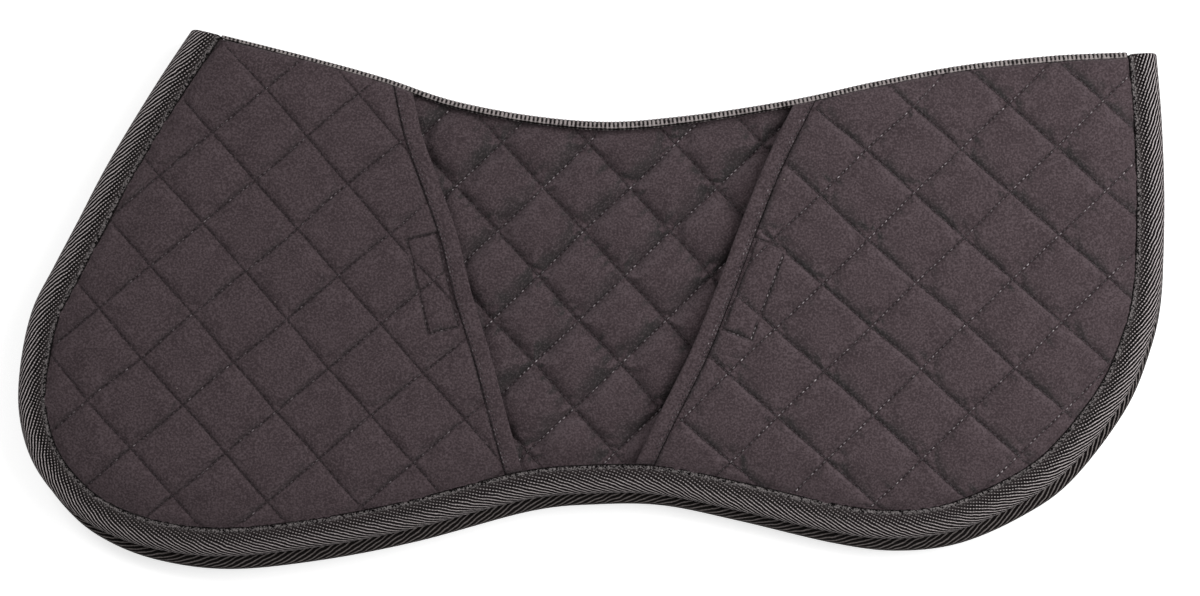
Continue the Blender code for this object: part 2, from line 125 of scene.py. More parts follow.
REAR_STITCH = (
    (0.692, 0.139), (0.665, 0.258), (0.644, 0.372), (0.623, 0.494), (0.600, 0.618), (0.572, 0.741),
    (0.554, 0.824),
)

# How the pockets' cloth falls to its sewn edges: the share that it falls in a bulge right beside them
FALL_WIDTH = 0.024
BULGE_SHARE = 0.42
BULGE_WIDTH = 0.0024


class Side(Enum):
    """Which half a piece is on, and the way its outer face looks along Z."""

    NEAR = 1
    FAR = -1


class End(Enum):
    """Which pocket of a half a piece belongs to."""

    FRONT = "front"
    REAR = "rear"


# Which of the repeatable noises makes which unevenness
WANDER_SEEDS = (41, 42)
POCKET_SEEDS = {End.FRONT: 4, End.REAR: 5}
CENTRE_SEED, STREAK_SEED, LINING_SEED = 7, 5, 11
PILLOW_SEED, HEM_SEED, FOAM_SEED = 17, 21, 31


def unit(vectors: Points) -> Points:
    """Give vectors the length 1."""
    return vectors / np.linalg.norm(vectors, axis=-1, keepdims=True)


def lengths_along(line: Points) -> Points:
    """Give the distance from a line's start to each of its points."""
    return np.concatenate([[0.0], np.cumsum(np.linalg.norm(np.diff(line, axis=0), axis=1))])


def sampled(rows: Points, known: Points, wanted: Points) -> Points:
    """Read rows of values, known at some distances along a line, at other distances."""
    return np.stack([np.interp(wanted, known, column) for column in rows.T], axis=-1)


def spaced(line: Points, count: int) -> Points:
    """Draw a line again with a number of evenly spaced points."""
    along = lengths_along(line)
    return sampled(line, along, np.linspace(0.0, along[-1], count))


def smooth_line(points: Points) -> Points:
    """Draw an even, smooth line through points, with a straight run past each end.

    Args:
        points: the points that the line passes through.

    Returns:
        The points of the line and of its two runs.
    """
    before = np.vstack([points[:1], points[:-2]])
    after = np.vstack([points[2:], points[-1:]])
    start, end = points[:-1], points[1:]
    spans = [
        0.5 * (
            2 * start + (end - before) * share + (2 * before - 5 * start + 4 * end - after) * share**2
            + (3 * start - before - 3 * end + after) * share**3
        )
        for share in np.arange(SPLINE_SAMPLES) / SPLINE_SAMPLES
    ]
    line = np.vstack([np.stack(spans, axis=1).reshape(-1, 2), points[-1:]])
    head = line[0] + unit(line[0] - line[1]) * CORNER_RUN
    tail = line[-1] + unit(line[-1] - line[-2]) * CORNER_RUN
    whole = np.vstack([head, line, tail])
    return spaced(whole, round(lengths_along(whole)[-1] / LINE_STEP) + 1)


def left_normals(line: Points) -> Points:
    """Give the unit normal on the left of a line at each of its points."""
    along = np.gradient(line, axis=0)
    return unit(np.stack([-along[:, 1], along[:, 0]], axis=1))


def moved_in(line: Points, distance: float | Points) -> Points:
    """Move a line to its left by a distance, or to its right where that is negative."""
    return line + left_normals(line) * np.broadcast_to(distance, len(line))[:, None]


def crossing(first: Points, second: Points) -> tuple[float, float, Points]:
    """Find where one line gives way to another in a left turn.

    Args:
        first: the line that ends there.
        second: the line that starts there.

    Returns:
        How far along each line it is, in points, and the place itself.
    """
    a = np.diff(first, axis=0)[:, None]
    b = np.diff(second, axis=0)[None]
    gap = second[None, :-1] - first[:-1, None]
    turn = a[..., 0] * b[..., 1] - a[..., 1] * b[..., 0]
    safe = np.where(turn > 0, turn, 1.0)
    s = (gap[..., 0] * b[..., 1] - gap[..., 1] * b[..., 0]) / safe
    t = (gap[..., 0] * a[..., 1] - gap[..., 1] * a[..., 0]) / safe
    hits = np.argwhere((turn > 0) & (s >= 0) & (s <= 1) & (t >= 0) & (t <= 1))
    i, k = hits[0]
    return i + s[i, k], k + t[i, k], first[i] + a[i, 0] * s[i, k]


def kept_span(before: Points, line: Points, after: Points) -> tuple[float, float]:
    """Find where a line starts at the line before it and ends at the one after it, in its points."""
    return crossing(before, line)[1], crossing(line, after)[0]


def closed_outline(lines: list[Points]) -> Points:
    """Join lines into the closed shape that they bound.

    Args:
        lines: the lines in order, each with the shape on its left.

    Returns:
        The outline's points, each line cut where it crosses the one before and the one after.
    """
    outline = []
    for i, line in enumerate(lines):
        _, start, corner = crossing(lines[i - 1], line)
        end, _, _ = crossing(line, lines[(i + 1) % len(lines)])
        index = np.arange(len(line))
        outline += [corner[None], line[(index > start + CORNER_KEEP) & (index < end - CORNER_KEEP)]]
    return np.vstack(outline)


def closed_line(outline: Points) -> Points:
    """Run the line of an outline back to its first point."""
    return np.vstack([outline, outline[:1]])


def read_at(line: Points, index: Points) -> Points:
    """Read places on a line at fractional point numbers."""
    return sampled(line, np.arange(len(line)), index)


def nearest(line: Points, points: Points) -> tuple[Points, Points]:
    """Measure points against a line.

    Args:
        line: the line's points.
        points: the points to measure.

    Returns:
        How far each point lies on the line's left, negative on its right, and the distance along the line.
    """
    best = np.full(len(points), np.inf)
    signed = np.zeros(len(points))
    along = np.zeros(len(points))
    starts = lengths_along(line)
    sparse = line[::SEARCH_STRIDE]
    around = np.argmin(np.sum((points[:, None] - sparse[None]) ** 2, axis=2), axis=1) * SEARCH_STRIDE
    for offset in range(-SEARCH_STRIDE, SEARCH_STRIDE):
        i = np.clip(around + offset, 0, len(line) - 2)
        way = line[i + 1] - line[i]
        gap = points - line[i]
        length = np.maximum(np.linalg.norm(way, axis=1), TINY)
        share = np.clip(np.sum(gap * way, axis=1) / length**2, 0.0, 1.0)
        distance = np.linalg.norm(gap - share[:, None] * way, axis=1)
        side = np.where(way[:, 0] * gap[:, 1] - way[:, 1] * gap[:, 0] >= 0, 1.0, -1.0)
        closer = distance < best
        best = np.where(closer, distance, best)
        signed = np.where(closer, side * distance, signed)
        along = np.where(closer, starts[i] + share * length, along)
    return signed, along


def left_of(line: Points, points: Points) -> Points:
    """Give how far each point lies on a line's left, negative on its right."""
    return nearest(line, points)[0]


def rim_rings(outline: Points, depths: Sizes, step: float) -> Points:
    """Give points on rings inside an outline.

    Args:
        outline: the outline.
        depths: how far in each ring is.
        step: about how far apart the points of a ring are.

    Returns:
        The points, without those that lie nearer another side.
    """
    closed = closed_line(outline)
    even = spaced(closed, round(lengths_along(closed)[-1] / step))
    rings = [(moved_in(even, depth), depth) for depth in depths]
    return np.vstack([ring[left_of(closed, ring) > depth * RING_KEEP] for ring, depth in rings])


def inside(outline: Points, points: Points) -> Points:
    """Tell which points lie inside a closed outline, by counting the sides that a level ray crosses.

    Args:
        outline: the outline's points.
        points: the points to test.

    Returns:
        True for each point inside.
    """
    found = np.zeros(len(points), bool)
    for start, end in zip(outline, np.roll(outline, -1, axis=0)):
        spans = (start[1] > points[:, 1]) != (end[1] > points[:, 1])
        if start[1] != end[1]:
            level = start[0] + (points[:, 1] - start[1]) * (end[0] - start[0]) / (end[1] - start[1])
            found ^= spans & (points[:, 0] < level)
    return found


def eased(share: Points) -> Points:
    """Turn shares from 0 to 1 into a smooth rise."""
    held = np.clip(share, 0.0, 1.0)
    return held * held * (3 - 2 * held)


def soft_noise(points: Points, size: float, seed: int) -> Points:
    """Give a smooth, repeatable noise from -1 to 1.

    Args:
        points: where it is read, in metres.
        size: the width of its bumps, in metres.
        seed: which noise it is.

    Returns:
        One value for each point.
    """
    cell = np.floor(points / size)
    share = eased(points / size - cell)
    turn_x, turn_y, turn_seed = HASH_TURNS

    def corner(x: int, y: int) -> Points:
        """Give the random value at one corner of each point's cell."""
        turned = (cell[:, 0] + x) * turn_x + (cell[:, 1] + y) * turn_y + seed * turn_seed
        mixed = np.sin(turned) * HASH_GAIN
        return 2 * (mixed - np.floor(mixed)) - 1

    low = corner(0, 0) * (1 - share[:, 0]) + corner(1, 0) * share[:, 0]
    high = corner(0, 1) * (1 - share[:, 0]) + corner(1, 1) * share[:, 0]
    return low * (1 - share[:, 1]) + high * share[:, 1]


# The height of the plane between the two halves
MIDDLE = (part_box("near_lining")[0].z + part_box("far_lining")[1].z) / 2


@dataclass(frozen=True)
class Layer:
    """The heights of a layer's inner and outer face above the plane between the halves."""

    foot: float
    top: float

    @classmethod
    def measured(cls, node: str) -> "Layer":
        """Read the heights from one of the near half's nodes."""
        return cls(*(corner.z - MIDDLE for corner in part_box("near_" + node)))


LINING_LAYER, WADDING_LAYER, POCKET_LAYER, HEM_LAYER, SHIM_LAYER, HOOK_LAYER, LOOP_LAYER = map(
    Layer.measured,
    ("lining", "wadding", "front_pocket", "front_hem", "front_shim", "front_hook", "front_loop"),
)


@dataclass(frozen=True)
class Quilt:
    """A panel's lines of quilting: one crossing, and the two sides of a diamond with their angles."""

    at: tuple[float, float]
    rising_side: float
    rising_angle: float
    falling_side: float
    falling_angle: float

    def sides(self) -> Points:
        """Give the side of a diamond that climbs to the rear and the one that falls to it."""
        angles = np.radians([self.rising_angle, self.falling_angle])
        return np.stack([np.cos(angles), np.sin(angles)], axis=1) * [[self.rising_side], [self.falling_side]]


FRONT_QUILT = Quilt((0.190, 0.628), 0.0364, 39.6, 0.0344, -48.8)
REAR_QUILT = Quilt((0.783, 0.475), 0.0349, 44.1, 0.0352, -41.3)
CENTRE_QUILT = Quilt((0.529, 0.464), 0.0344, 43.8, 0.0327, -47.4)


@dataclass(frozen=True)
class Lattice:
    """A quilt laid on a half, with its crossing at a real place."""

    origin: Points
    quilt: Quilt
    wander: float = 0.0008
    wander_size: float = 0.034
    rounds: int = 4

    def astray(self, points: Points) -> Points:
        """Give how far the sewing wanders from straight lines."""
        wander = [soft_noise(points, self.wander_size, seed) for seed in WANDER_SEEDS]
        return self.wander * np.stack(wander, axis=1)

    def shares(self, points: Points) -> tuple[Points, Points]:
        """Turn places into counts of diamonds.

        Args:
            points: the places.

        Returns:
            The counts along the rising side and along the falling side.
        """
        a, b = self.quilt.sides()
        turn = a[0] * b[1] - a[1] * b[0]
        gap = points - self.astray(points) - self.origin
        return (gap[:, 0] * b[1] - gap[:, 1] * b[0]) / turn, (a[0] * gap[:, 1] - a[1] * gap[:, 0]) / turn

    def place(self, s: Points, t: Points) -> Points:
        """Turn such counts back into places.

        Args:
            s: the counts along the rising side.
            t: the counts along the falling side.

        Returns:
            The places.
        """
        rising, falling = self.quilt.sides()
        straight = self.origin + np.outer(s, rising) + np.outer(t, falling)
        found = straight
        for _ in range(self.rounds):
            found = straight + self.astray(found)
        return found

    def distances(self, points: Points) -> tuple[Points, Points]:
        """Measure how far each point is from the nearest stitches.

        Args:
            points: the points.

        Returns:
            The distances from the nearest falling line and from the nearest rising line.
        """
        a, b = self.quilt.sides()
        turn = abs(a[0] * b[1] - a[1] * b[0])
        s, t = self.shares(points)
        return (
            np.abs(s - np.round(s)) * turn / np.linalg.norm(b),
            np.abs(t - np.round(t)) * turn / np.linalg.norm(a),
        )

    def spans(self, outline: Points) -> list[range]:
        """Give the whole numbers of lines, each way, that cover an outline."""
        return [range(math.floor(v.min()), math.ceil(v.max()) + 1) for v in self.shares(outline)]

    def net(self, outline: Points, stations: Sizes) -> Points:
        """Lay a net of points over an outline.

        Args:
            outline: the shape to cover.
            stations: distances from a line of stitches, up to the middle of a diamond, in metres.

        Returns:
            The points, also those outside the outline.
        """
        axes = []
        for lines, side in zip(self.spans(outline), (self.quilt.rising_side, self.quilt.falling_side)):
            near = np.array([d for d in stations if d < side / 2])
            steps = np.concatenate([near, side - near[near > 0]]) / side
            axes.append(np.unique(np.add.outer(np.array(lines), np.sort(steps)).ravel()))
        s, t = np.meshgrid(*axes, indexing="ij")
        return self.place(s.ravel(), t.ravel())


class HalfShape:
    """The lines that every piece of one half is measured from."""

    def __init__(self, side: Side, moved: Points) -> None:
        """Draw the lines.

        Args:
            side: which half it is.
            moved: how far all of it is moved, so that the pad's middle is over the origin.
        """
        self.side = side
        self.name = side.name.lower()
        self.shows = FAR_SHOWS if side is Side.FAR else 0.0
        self.lean = FAR_LEAN if side is Side.FAR else 0.0
        self.moved = moved
        self.edge = smooth_line(self.places(EDGE))
        self.seam = smooth_line(self.places(SEAM))
        self.mouths = {
            End.FRONT: smooth_line(self.places(FRONT_STITCH)),
            End.REAR: smooth_line(self.places(REAR_STITCH)),
        }

    def places(self, shares: Pairs) -> Points:
        """Turn shares of the length and of the drop into places.

        Args:
            shares: the shares of the length and of the drop.

        Returns:
            The places, seen flat.
        """
        along, down = np.array(shares).T
        share = np.maximum(0.0, down - SEAM_DIP) / (1 - SEAM_DIP)
        x = (along - 0.5) * PAD_LENGTH + self.lean * share
        y = (0.5 - down) * NEAR_DROP - self.shows * share
        return np.stack([x, y], axis=1) + self.moved

    def lattice(self, quilt: Quilt) -> Lattice:
        """Lay a quilt on this half."""
        return Lattice(self.places((quilt.at,))[0], quilt)

    def z(self, height: Points) -> Points:
        """Turn heights above the plane between the halves into world heights."""
        return MIDDLE + self.side.value * height

    def lifted(self, points: Points, heights: Points) -> Points:
        """Join flat places and their heights into places in the world."""
        return np.column_stack([points, self.z(np.broadcast_to(heights, len(points)))])

    def pocket_lines(self, end: End, edge_in: float, seam_in: float, mouth_in: float) -> list[Points]:
        """Give the three lines round a pocket, in the order that a closed outline needs.

        Args:
            end: which pocket.
            edge_in: how far in from the pad's edge.
            seam_in: how far in from the seam along the spine.
            mouth_in: how far in from the stitches along the mouth.

        Returns:
            The three lines.
        """
        edge = moved_in(self.edge, edge_in)
        seam = moved_in(self.seam, seam_in)
        mouth = moved_in(self.mouths[end], mouth_in)
        return [edge, mouth, seam] if end is End.FRONT else [edge, seam, mouth]


def both_halves() -> dict[Side, HalfShape]:
    """Draw both halves, with the middle of their outlines over the origin.

    Returns:
        The lines of each half.
    """
    loose = [HalfShape(side, np.zeros(2)) for side in Side]
    points = np.vstack([closed_outline([half.edge, half.seam]) for half in loose])
    moved = -(points.min(axis=0) + points.max(axis=0)) / 2
    return {side: HalfShape(side, moved) for side in Side}


HALVES = both_halves()


def fold_frame() -> tuple[Points, Points]:
    """Read the fold joint: a point of its axis, and the flat direction down from it."""
    joint = next(j for j in frame["joints"] if j["name"] == "spine_fold")
    return np.array(joint["pos_m"][:2]), unit(np.array([-joint["axis"][1], joint["axis"][0]]))


@dataclass
class FlatShape:
    """A flat shape cut into triangles. Its first points are its rim, in order."""

    points: Points
    faces: Points
    rim: int


def triangulated(outline: Points, fill: Points, clearance: float) -> FlatShape:
    """Cut a flat shape into triangles.

    Args:
        outline: its rim, counterclockwise.
        fill: points to use inside it.
        clearance: how near the rim such a point may lie.

    Returns:
        The shape, with its rim first.
    """
    kept = fill[inside(outline, fill)]
    kept = kept[np.abs(left_of(closed_line(outline), kept)) > clearance]
    points = np.vstack([outline, kept])
    count = len(outline)
    rim = [(i, (i + 1) % count) for i in range(count)]
    found = delaunay_2d_cdt([Vector(p) for p in points], rim, [], INSIDE_RIM, SAME_POINT)
    order = np.array([from_input[0] for from_input in found[3]])
    faces = order[np.array([f for f in found[2] if len(f) == 3])]
    a, b, c = (points[faces[:, k]] for k in range(3))
    turn = (b[:, 0] - a[:, 0]) * (c[:, 1] - a[:, 1]) - (b[:, 1] - a[:, 1]) * (c[:, 0] - a[:, 0])
    faces[turn < 0] = faces[turn < 0][:, ::-1]
    return FlatShape(points, faces, count)


def even_fill(outline: Points, step: float) -> Points:
    """Fill an outline's box with evenly staggered points.

    Args:
        outline: the outline.
        step: how far apart the points are.

    Returns:
        The points.
    """
    low, high = outline.min(axis=0), outline.max(axis=0)
    x, y = np.meshgrid(np.arange(low[0], high[0], step), np.arange(low[1], high[1], step))
    x = x + (np.arange(len(x)) % 2)[:, None] * step / 2
    return np.stack([x.ravel(), y.ravel()], axis=1)


def make_piece(name: str, points: Points, faces: list, values: Values | None = None) -> Piece:
    """Make a smooth-shaded mesh object that remembers where each point lay at rest.

    Args:
        name: the piece's name.
        points: its points.
        faces: its faces, as lists of point numbers.
        values: further values for each point, by name.

    Returns:
        The object, linked to the scene.
    """
    mesh = bpy.data.meshes.new(name)
    mesh.from_pydata(points.tolist(), [], [list(map(int, face)) for face in faces])
    mesh.shade_smooth()
    for key, value in {"rest": points, **(values or {})}.items():
        kind, part = ("FLOAT", "value") if value.ndim == 1 else ("FLOAT_VECTOR", "vector")
        stored = mesh.attributes.new(key, kind, "POINT")
        stored.data.foreach_set(part, value.astype(np.float32).ravel())
    obj = bpy.data.objects.new(name, mesh)
    bpy.context.scene.collection.objects.link(obj)
    return obj


Heights = Callable[[Points], Points]


def closed_slab(
    name: str, half: HalfShape, outer: FlatShape, inner: FlatShape, top: Heights, foot: Heights,
    values: Callable[[Points], Values] | None = None,
) -> Piece:
    """Make a closed piece of cloth or foam between two faces.

    Args:
        name: the piece's name.
        half: the half that it belongs to.
        outer: the shape of its outer face.
        inner: the shape of its inner face, with the same rim.
        top: gives the outer face's height at places.
        foot: gives the inner face's height at places.
        values: gives further values for each point, by name.

    Returns:
        The object.
    """
    count = len(outer.points)
    points = np.vstack(
        [half.lifted(outer.points, top(outer.points)), half.lifted(inner.points, foot(inner.points))]
    )
    i = np.arange(outer.rim)
    k = (i + 1) % outer.rim
    walls = np.stack([i, i + count, k + count, k], axis=1)
    faces = [outer.faces, inner.faces[:, ::-1] + count, walls]
    if half.side is Side.FAR:
        faces = [part[:, ::-1] for part in faces]
    flat = np.vstack([outer.points, inner.points])
    return make_piece(name, points, [f for part in faces for f in part], values(flat) if values else None)


def swept_band(name: str, rows: Points, flip: bool, values: Values | None = None) -> Piece:
    """Make a closed band from a profile carried along a line.

    Args:
        name: the piece's name.
        rows: its points, by station along the line and then round the closed profile.
        flip: whether the profile runs the other way round.
        values: further values for each point, by name.

    Returns:
        The object.
    """
    stations, round_it = rows.shape[:2]
    number = np.arange(stations * round_it).reshape(stations, round_it)
    after = np.roll(number, -1, axis=1)
    quads = np.stack([number[:-1], number[1:], after[1:], after[:-1]], axis=-1).reshape(-1, 4)
    faces = list(quads) + [number[0], number[-1, ::-1]]
    if flip:
        faces = [face[::-1] for face in faces]
    return make_piece(name, rows.reshape(-1, 3), faces, values)


@dataclass(frozen=True)
class Stitch:
    """One kind of stitch: a short raised thread whose ends dive into the cloth."""

    pitch: float = 0.0030
    length: float = 0.0022
    thickness: float = 0.00085
    dive: float = 0.0005
    sides: int = 4
    rings: Pairs = ((-0.55, 0.85), (0.0, 1.0), (0.55, 0.85))
    # The way in degrees along which stitches get painted shade, and how sharply that shade keeps to it
    shade_way_angle: float = -45.0
    shade_way_power: int = 3

    def template(self) -> tuple[Points, list]:
        """Make one stitch along X, with rings of points between its two tips.

        Returns:
            Its points and its faces.
        """
        sides = self.sides
        turns = [2 * math.pi * (k + 0.5) / sides for k in range(sides)]
        points = [(-1.0, 0.0, -1.0)]
        for along, wide in self.rings:
            points += [(along, math.cos(turn) * wide, math.sin(turn) * wide) for turn in turns]
        points.append((1.0, 0.0, -1.0))
        x, y, z = np.array(points).T
        height = np.where(np.abs(x) == 1.0, 0.0, z * self.thickness / 2) - x**2 * self.dive
        scaled = np.stack([x * self.length / 2, y * self.thickness / 2, height], axis=1)
        last = 1 + (len(self.rings) - 1) * sides
        faces = [[0, 1 + (k + 1) % sides, 1 + k] for k in range(sides)]
        for base in range(1, last, sides):
            pairs = [(base + k, base + (k + 1) % sides) for k in range(sides)]
            faces += [[here, after, after + sides, here + sides] for here, after in pairs]
        faces += [[last + k, last + (k + 1) % sides, len(points) - 1] for k in range(sides)]
        return scaled, faces

    def sew(self, name: str, places: Points, ways: Points, ups: Points) -> Piece:
        """Make a piece of many stitches.

        Args:
            name: the piece's name.
            places: the middle of each stitch.
            ways: the direction of each stitch.
            ups: the direction out of the cloth at each stitch.

        Returns:
            The object, which also stores how far each stitch runs along one fixed way, from 0 to 1, for the
            painted shade on such stitches.
        """
        shape, faces = self.template()
        ways = unit(ways)
        across = unit(np.cross(ups, ways))
        axes = np.stack([ways, across, np.cross(ways, across)], axis=1)
        points = places[:, None]
        for k in range(3):
            points = points + shape[None, :, k : k + 1] * axes[:, None, k]
        count = len(shape)
        whole = [[i * count + k for k in face] for i in range(len(places)) for face in faces]
        # Painted shade on stitches that run along this way
        rib = math.radians(self.shade_way_angle)
        with_shade_way = np.abs(ways[:, 0] * math.cos(rib) + ways[:, 1] * math.sin(rib)) ** self.shade_way_power
        return make_piece(name, points.reshape(-1, 3), whole, {"sunk": np.repeat(with_shade_way, count)})


def even_marks(line: Points, pitch: float) -> tuple[Points, Points]:
    """Mark a line at even steps.

    Args:
        line: the line's points.
        pitch: how far apart the marks are.

    Returns:
        The marks and the line's direction at each.
    """
    along = lengths_along(line)
    wanted = np.arange(pitch / 2, along[-1], pitch)
    return sampled(line, along, wanted), unit(sampled(np.gradient(line, axis=0), along, wanted))


class Cloth:
    """What every sewn piece of a half shares: its stitches, and the step that bakes its transform into its
    mesh.
    """

    half: HalfShape
    thread: "Finish"
    stitch: Stitch

    def bend(self, obj: Piece) -> Piece:
        """Bake a piece's transform into its mesh; it doesn't bend with the fold.

        Args:
            obj: the piece.

        Returns:
            The same piece.
        """
        place, down = fold_frame()
        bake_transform(obj)
        return obj

    def sew(self, name: str, places: Points, ways: Points, ups: Points) -> Piece:
        """Sew stitches, with their transform baked into their mesh.

        Args:
            name: the name of the piece that they become.
            places: the middle of each stitch.
            ways: the direction of each stitch.
            ups: the direction out of the cloth at each stitch.

        Returns:
            The piece.
        """
        sewn = self.stitch.sew(name, places, ways, ups)
        self.thread.dress(sewn)
        return self.bend(sewn)


def risen(half: HalfShape, points: Points) -> Points:
    """Give how far a pocket's cloth has risen, from 0 to 1: steeply beside the sewn edges, then gently."""
    beside = np.minimum(left_of(half.edge, points) - BINDING_WIDTH, left_of(half.seam, points)).clip(0.0)
    return BULGE_SHARE * np.tanh(beside / BULGE_WIDTH) + (1 - BULGE_SHARE) * eased(beside / FALL_WIDTH)


@dataclass
class Pillows:
    """A patch of quilted diamonds that a cloth simulation has blown up. It repeats in both directions.

    The patch is simulated larger than it is, because the cloth solver suits sizes of about a metre.
    """

    diamonds: int = 5
    cells: int = 14
    size: float = 0.7
    slack: float = 0.10
    pressure: float = 4.0
    stiffness: float = 15.0
    shear: float = 5.0
    bending: float = 0.1
    frames: int = 20
    first_rise: float = 0.02
    unevenness: float = 0.006
    uneven_cells: float = 1.7
    sewn_below: float = 1e-6
    most_rise: float = 0.15

    def __post_init__(self) -> None:
        """Blow the patch up between its stitches and keep its heights, as shares of a full swell."""
        count = self.diamonds * self.cells
        steps = np.arange(count + 1) / self.cells
        s, t = (part.ravel() for part in np.meshgrid(steps, steps, indexing="ij"))
        free = np.abs(np.sin(math.pi * s) * np.sin(math.pi * t))
        uneven = soft_noise(np.stack([s, t], axis=1), self.uneven_cells / self.cells, PILLOW_SEED)
        rise = np.where(free > TINY, self.first_rise * free + self.unevenness * uneven, 0.0)
        row = np.arange((count + 1) ** 2).reshape(count + 1, count + 1)
        quads = np.stack([row[:-1, :-1], row[1:, :-1], row[1:, 1:], row[:-1, 1:]], axis=-1).swapaxes(0, 1)
        points = np.stack([s * self.size, t * self.size, rise], axis=1)
        patch = make_piece("pillow_patch", points, list(quads.reshape(-1, 4)))
        sewn = patch.vertex_groups.new(name="sewn")
        sewn.add(np.flatnonzero(free <= self.sewn_below).tolist(), 1.0, "REPLACE")
        cloth = patch.modifiers.new("cloth", "CLOTH")
        settings = cloth.settings
        settings.vertex_group_mass = sewn.name
        settings.use_pressure = True
        settings.uniform_pressure_force = self.pressure
        settings.effector_weights.gravity = 0.0
        settings.shrink_min = -self.slack
        settings.tension_stiffness = settings.compression_stiffness = self.stiffness
        settings.shear_stiffness = self.shear
        settings.bending_stiffness = self.bending
        cloth.collision_settings.use_collision = False
        cloth.point_cache.frame_end = self.frames
        for number in range(1, self.frames + 1):
            bpy.context.scene.frame_set(number)
        blown = patch.evaluated_get(bpy.context.evaluated_depsgraph_get()).to_mesh()
        places = np.empty(len(blown.vertices) * 3, np.float32)
        blown.vertices.foreach_get("co", places)
        bpy.data.objects.remove(patch)
        heights = places[2::3].astype(float).reshape(count + 1, count + 1)
        full = np.median(heights[self.cells // 2 :: self.cells, self.cells // 2 :: self.cells])
        self.heights = np.clip(heights, 0.0, self.most_rise)[:count, :count] / full

    def height(self, s: Points, t: Points) -> Points:
        """Read the swell.

        Args:
            s: counts of diamonds along the rising side.
            t: counts of diamonds along the falling side.

        Returns:
            About 0 on the stitches and 1 on a diamond's crown.
        """
        count = len(self.heights)
        x, y = s * self.cells, t * self.cells
        i, k = np.floor(x).astype(int), np.floor(y).astype(int)
        total = np.zeros(len(x))
        for a, wide in enumerate(cubic_weights(x - i)):
            for b, high in enumerate(cubic_weights(y - k)):
                total += wide * high * self.heights[(i + a - 1) % count, (k + b - 1) % count]
        return np.maximum(total, 0.0)


def cubic_weights(share: Points) -> tuple[Points, Points, Points, Points]:
    """Give what four even neighbours weigh in a smooth reading between the middle two."""
    return (
        (-share + 2 * share**2 - share**3) / 2,
        (2 - 5 * share**2 + 3 * share**3) / 2,
        (share + 4 * share**2 - 3 * share**3) / 2,
        (share**3 - share**2) / 2,
    )


PILLOWS = Pillows()


@dataclass(frozen=True)
class Relief:
    """How cloth swells between its lines of stitches."""

    groove: float
    width: float
    dome: float
    crease: float
    notch: float
    fullness: float = 3.0
    notch_width: float = 0.0005
    pucker_size: float = 0.0032
    pucker_stretch: float = 0.35
    pucker_start: float = 0.001
    pucker_reach: float = 0.005
    uneven: float = 0.25
    uneven_size: float = 0.37

    @property
    def full(self) -> float:
        """Give about how high the cloth swells on a diamond's crown."""
        return self.groove + self.dome

    def puckers(self, lattice: Lattice, points: Points, seed: int) -> Points:
        """Give the small creases that the stitches pull into the cloth beside them.

        Args:
            lattice: the panel's lines of stitches.
            points: where the creases are read.
            seed: which noise makes them.

        Returns:
            Their height at each point.
        """
        s, t = lattice.shares(points)
        beside_falling, beside_rising = lattice.distances(points)
        rising, falling = lattice.quilt.rising_side, lattice.quilt.falling_side
        total = np.zeros(len(points))
        lines = ((t * falling, beside_falling, falling), (s * rising, beside_rising, rising))
        for along, away, side in lines:
            across = away * self.pucker_stretch + np.round(along / side)
            ripple = soft_noise(np.stack([along, across], axis=1), self.pucker_size, seed)
            total += ripple * np.exp(-away / self.pucker_reach) * np.tanh(away / self.pucker_start)
        return total * self.crease

    def swell(self, lattice: Lattice, points: Points, seed: int) -> Points:
        """Give the height of quilted cloth above its stitches.

        Args:
            lattice: the panel's lines of stitches.
            points: where it is read.
            seed: which noise makes it uneven.

        Returns:
            The height at each point.
        """
        s, t = lattice.shares(points)
        dome = PILLOWS.height(s, t)
        flat = self.groove * np.tanh(dome * self.fullness)
        diamonds = np.stack([np.floor(s), np.floor(t)], axis=1)
        uneven = 1 + self.uneven * soft_noise(diamonds, self.uneven_size, seed)
        beside = np.minimum(*lattice.distances(points))
        pulled = self.notch * np.exp(-((beside / self.notch_width) ** 2))
        return flat + self.dome * dome * uneven + self.puckers(lattice, points, seed) - pulled


POCKET_RELIEF = Relief(groove=0.0013, width=0.0020, dome=0.0010, crease=0.0004, notch=0.0003, fullness=3.6)
CENTRE_RELIEF = Relief(groove=0.0026, width=0.0036, dome=0.0026, crease=0.0006, notch=0.0002, fullness=2.6)
LINING_RELIEF = Relief(groove=0.0003, width=0.0015, dome=0.0001, crease=0.00002, notch=0.0)


@dataclass
class Tab:
    """The rectangle of stitches that holds a hook patch behind a pocket's mouth."""

    half: HalfShape
    end: End
    width: float = 0.0165
    length: float = 0.052
    inset: float = 0.0015
    levels: tuple[float, float] = (0.470, 0.477)

    def corners(self) -> Points:
        """Place its four corners beside the mouth.

        Returns:
            The corners, counterclockwise.
        """
        mouth = self.half.mouths[self.end]
        down = self.levels[0] if self.end is End.FRONT else self.levels[1]
        level = self.half.places(((0.0, down),))[0, 1]
        order = np.argsort(mouth[:, 1])
        x = np.interp(level, mouth[order, 1], mouth[order, 0])
        i = np.argmin(np.abs(mouth[:, 1] - level))
        along = unit(mouth[i + 1] - mouth[i - 1])
        inward = np.array([-along[1], along[0]])
        centre = np.array([x, level]) + inward * (self.inset + self.width / 2)
        wide, long = inward * self.width / 2, along * self.length / 2
        return centre + np.array([long - wide, long + wide, wide - long, -wide - long])

    def ring(self) -> Points:
        """Give the closed line through its corners."""
        return closed_line(self.corners())


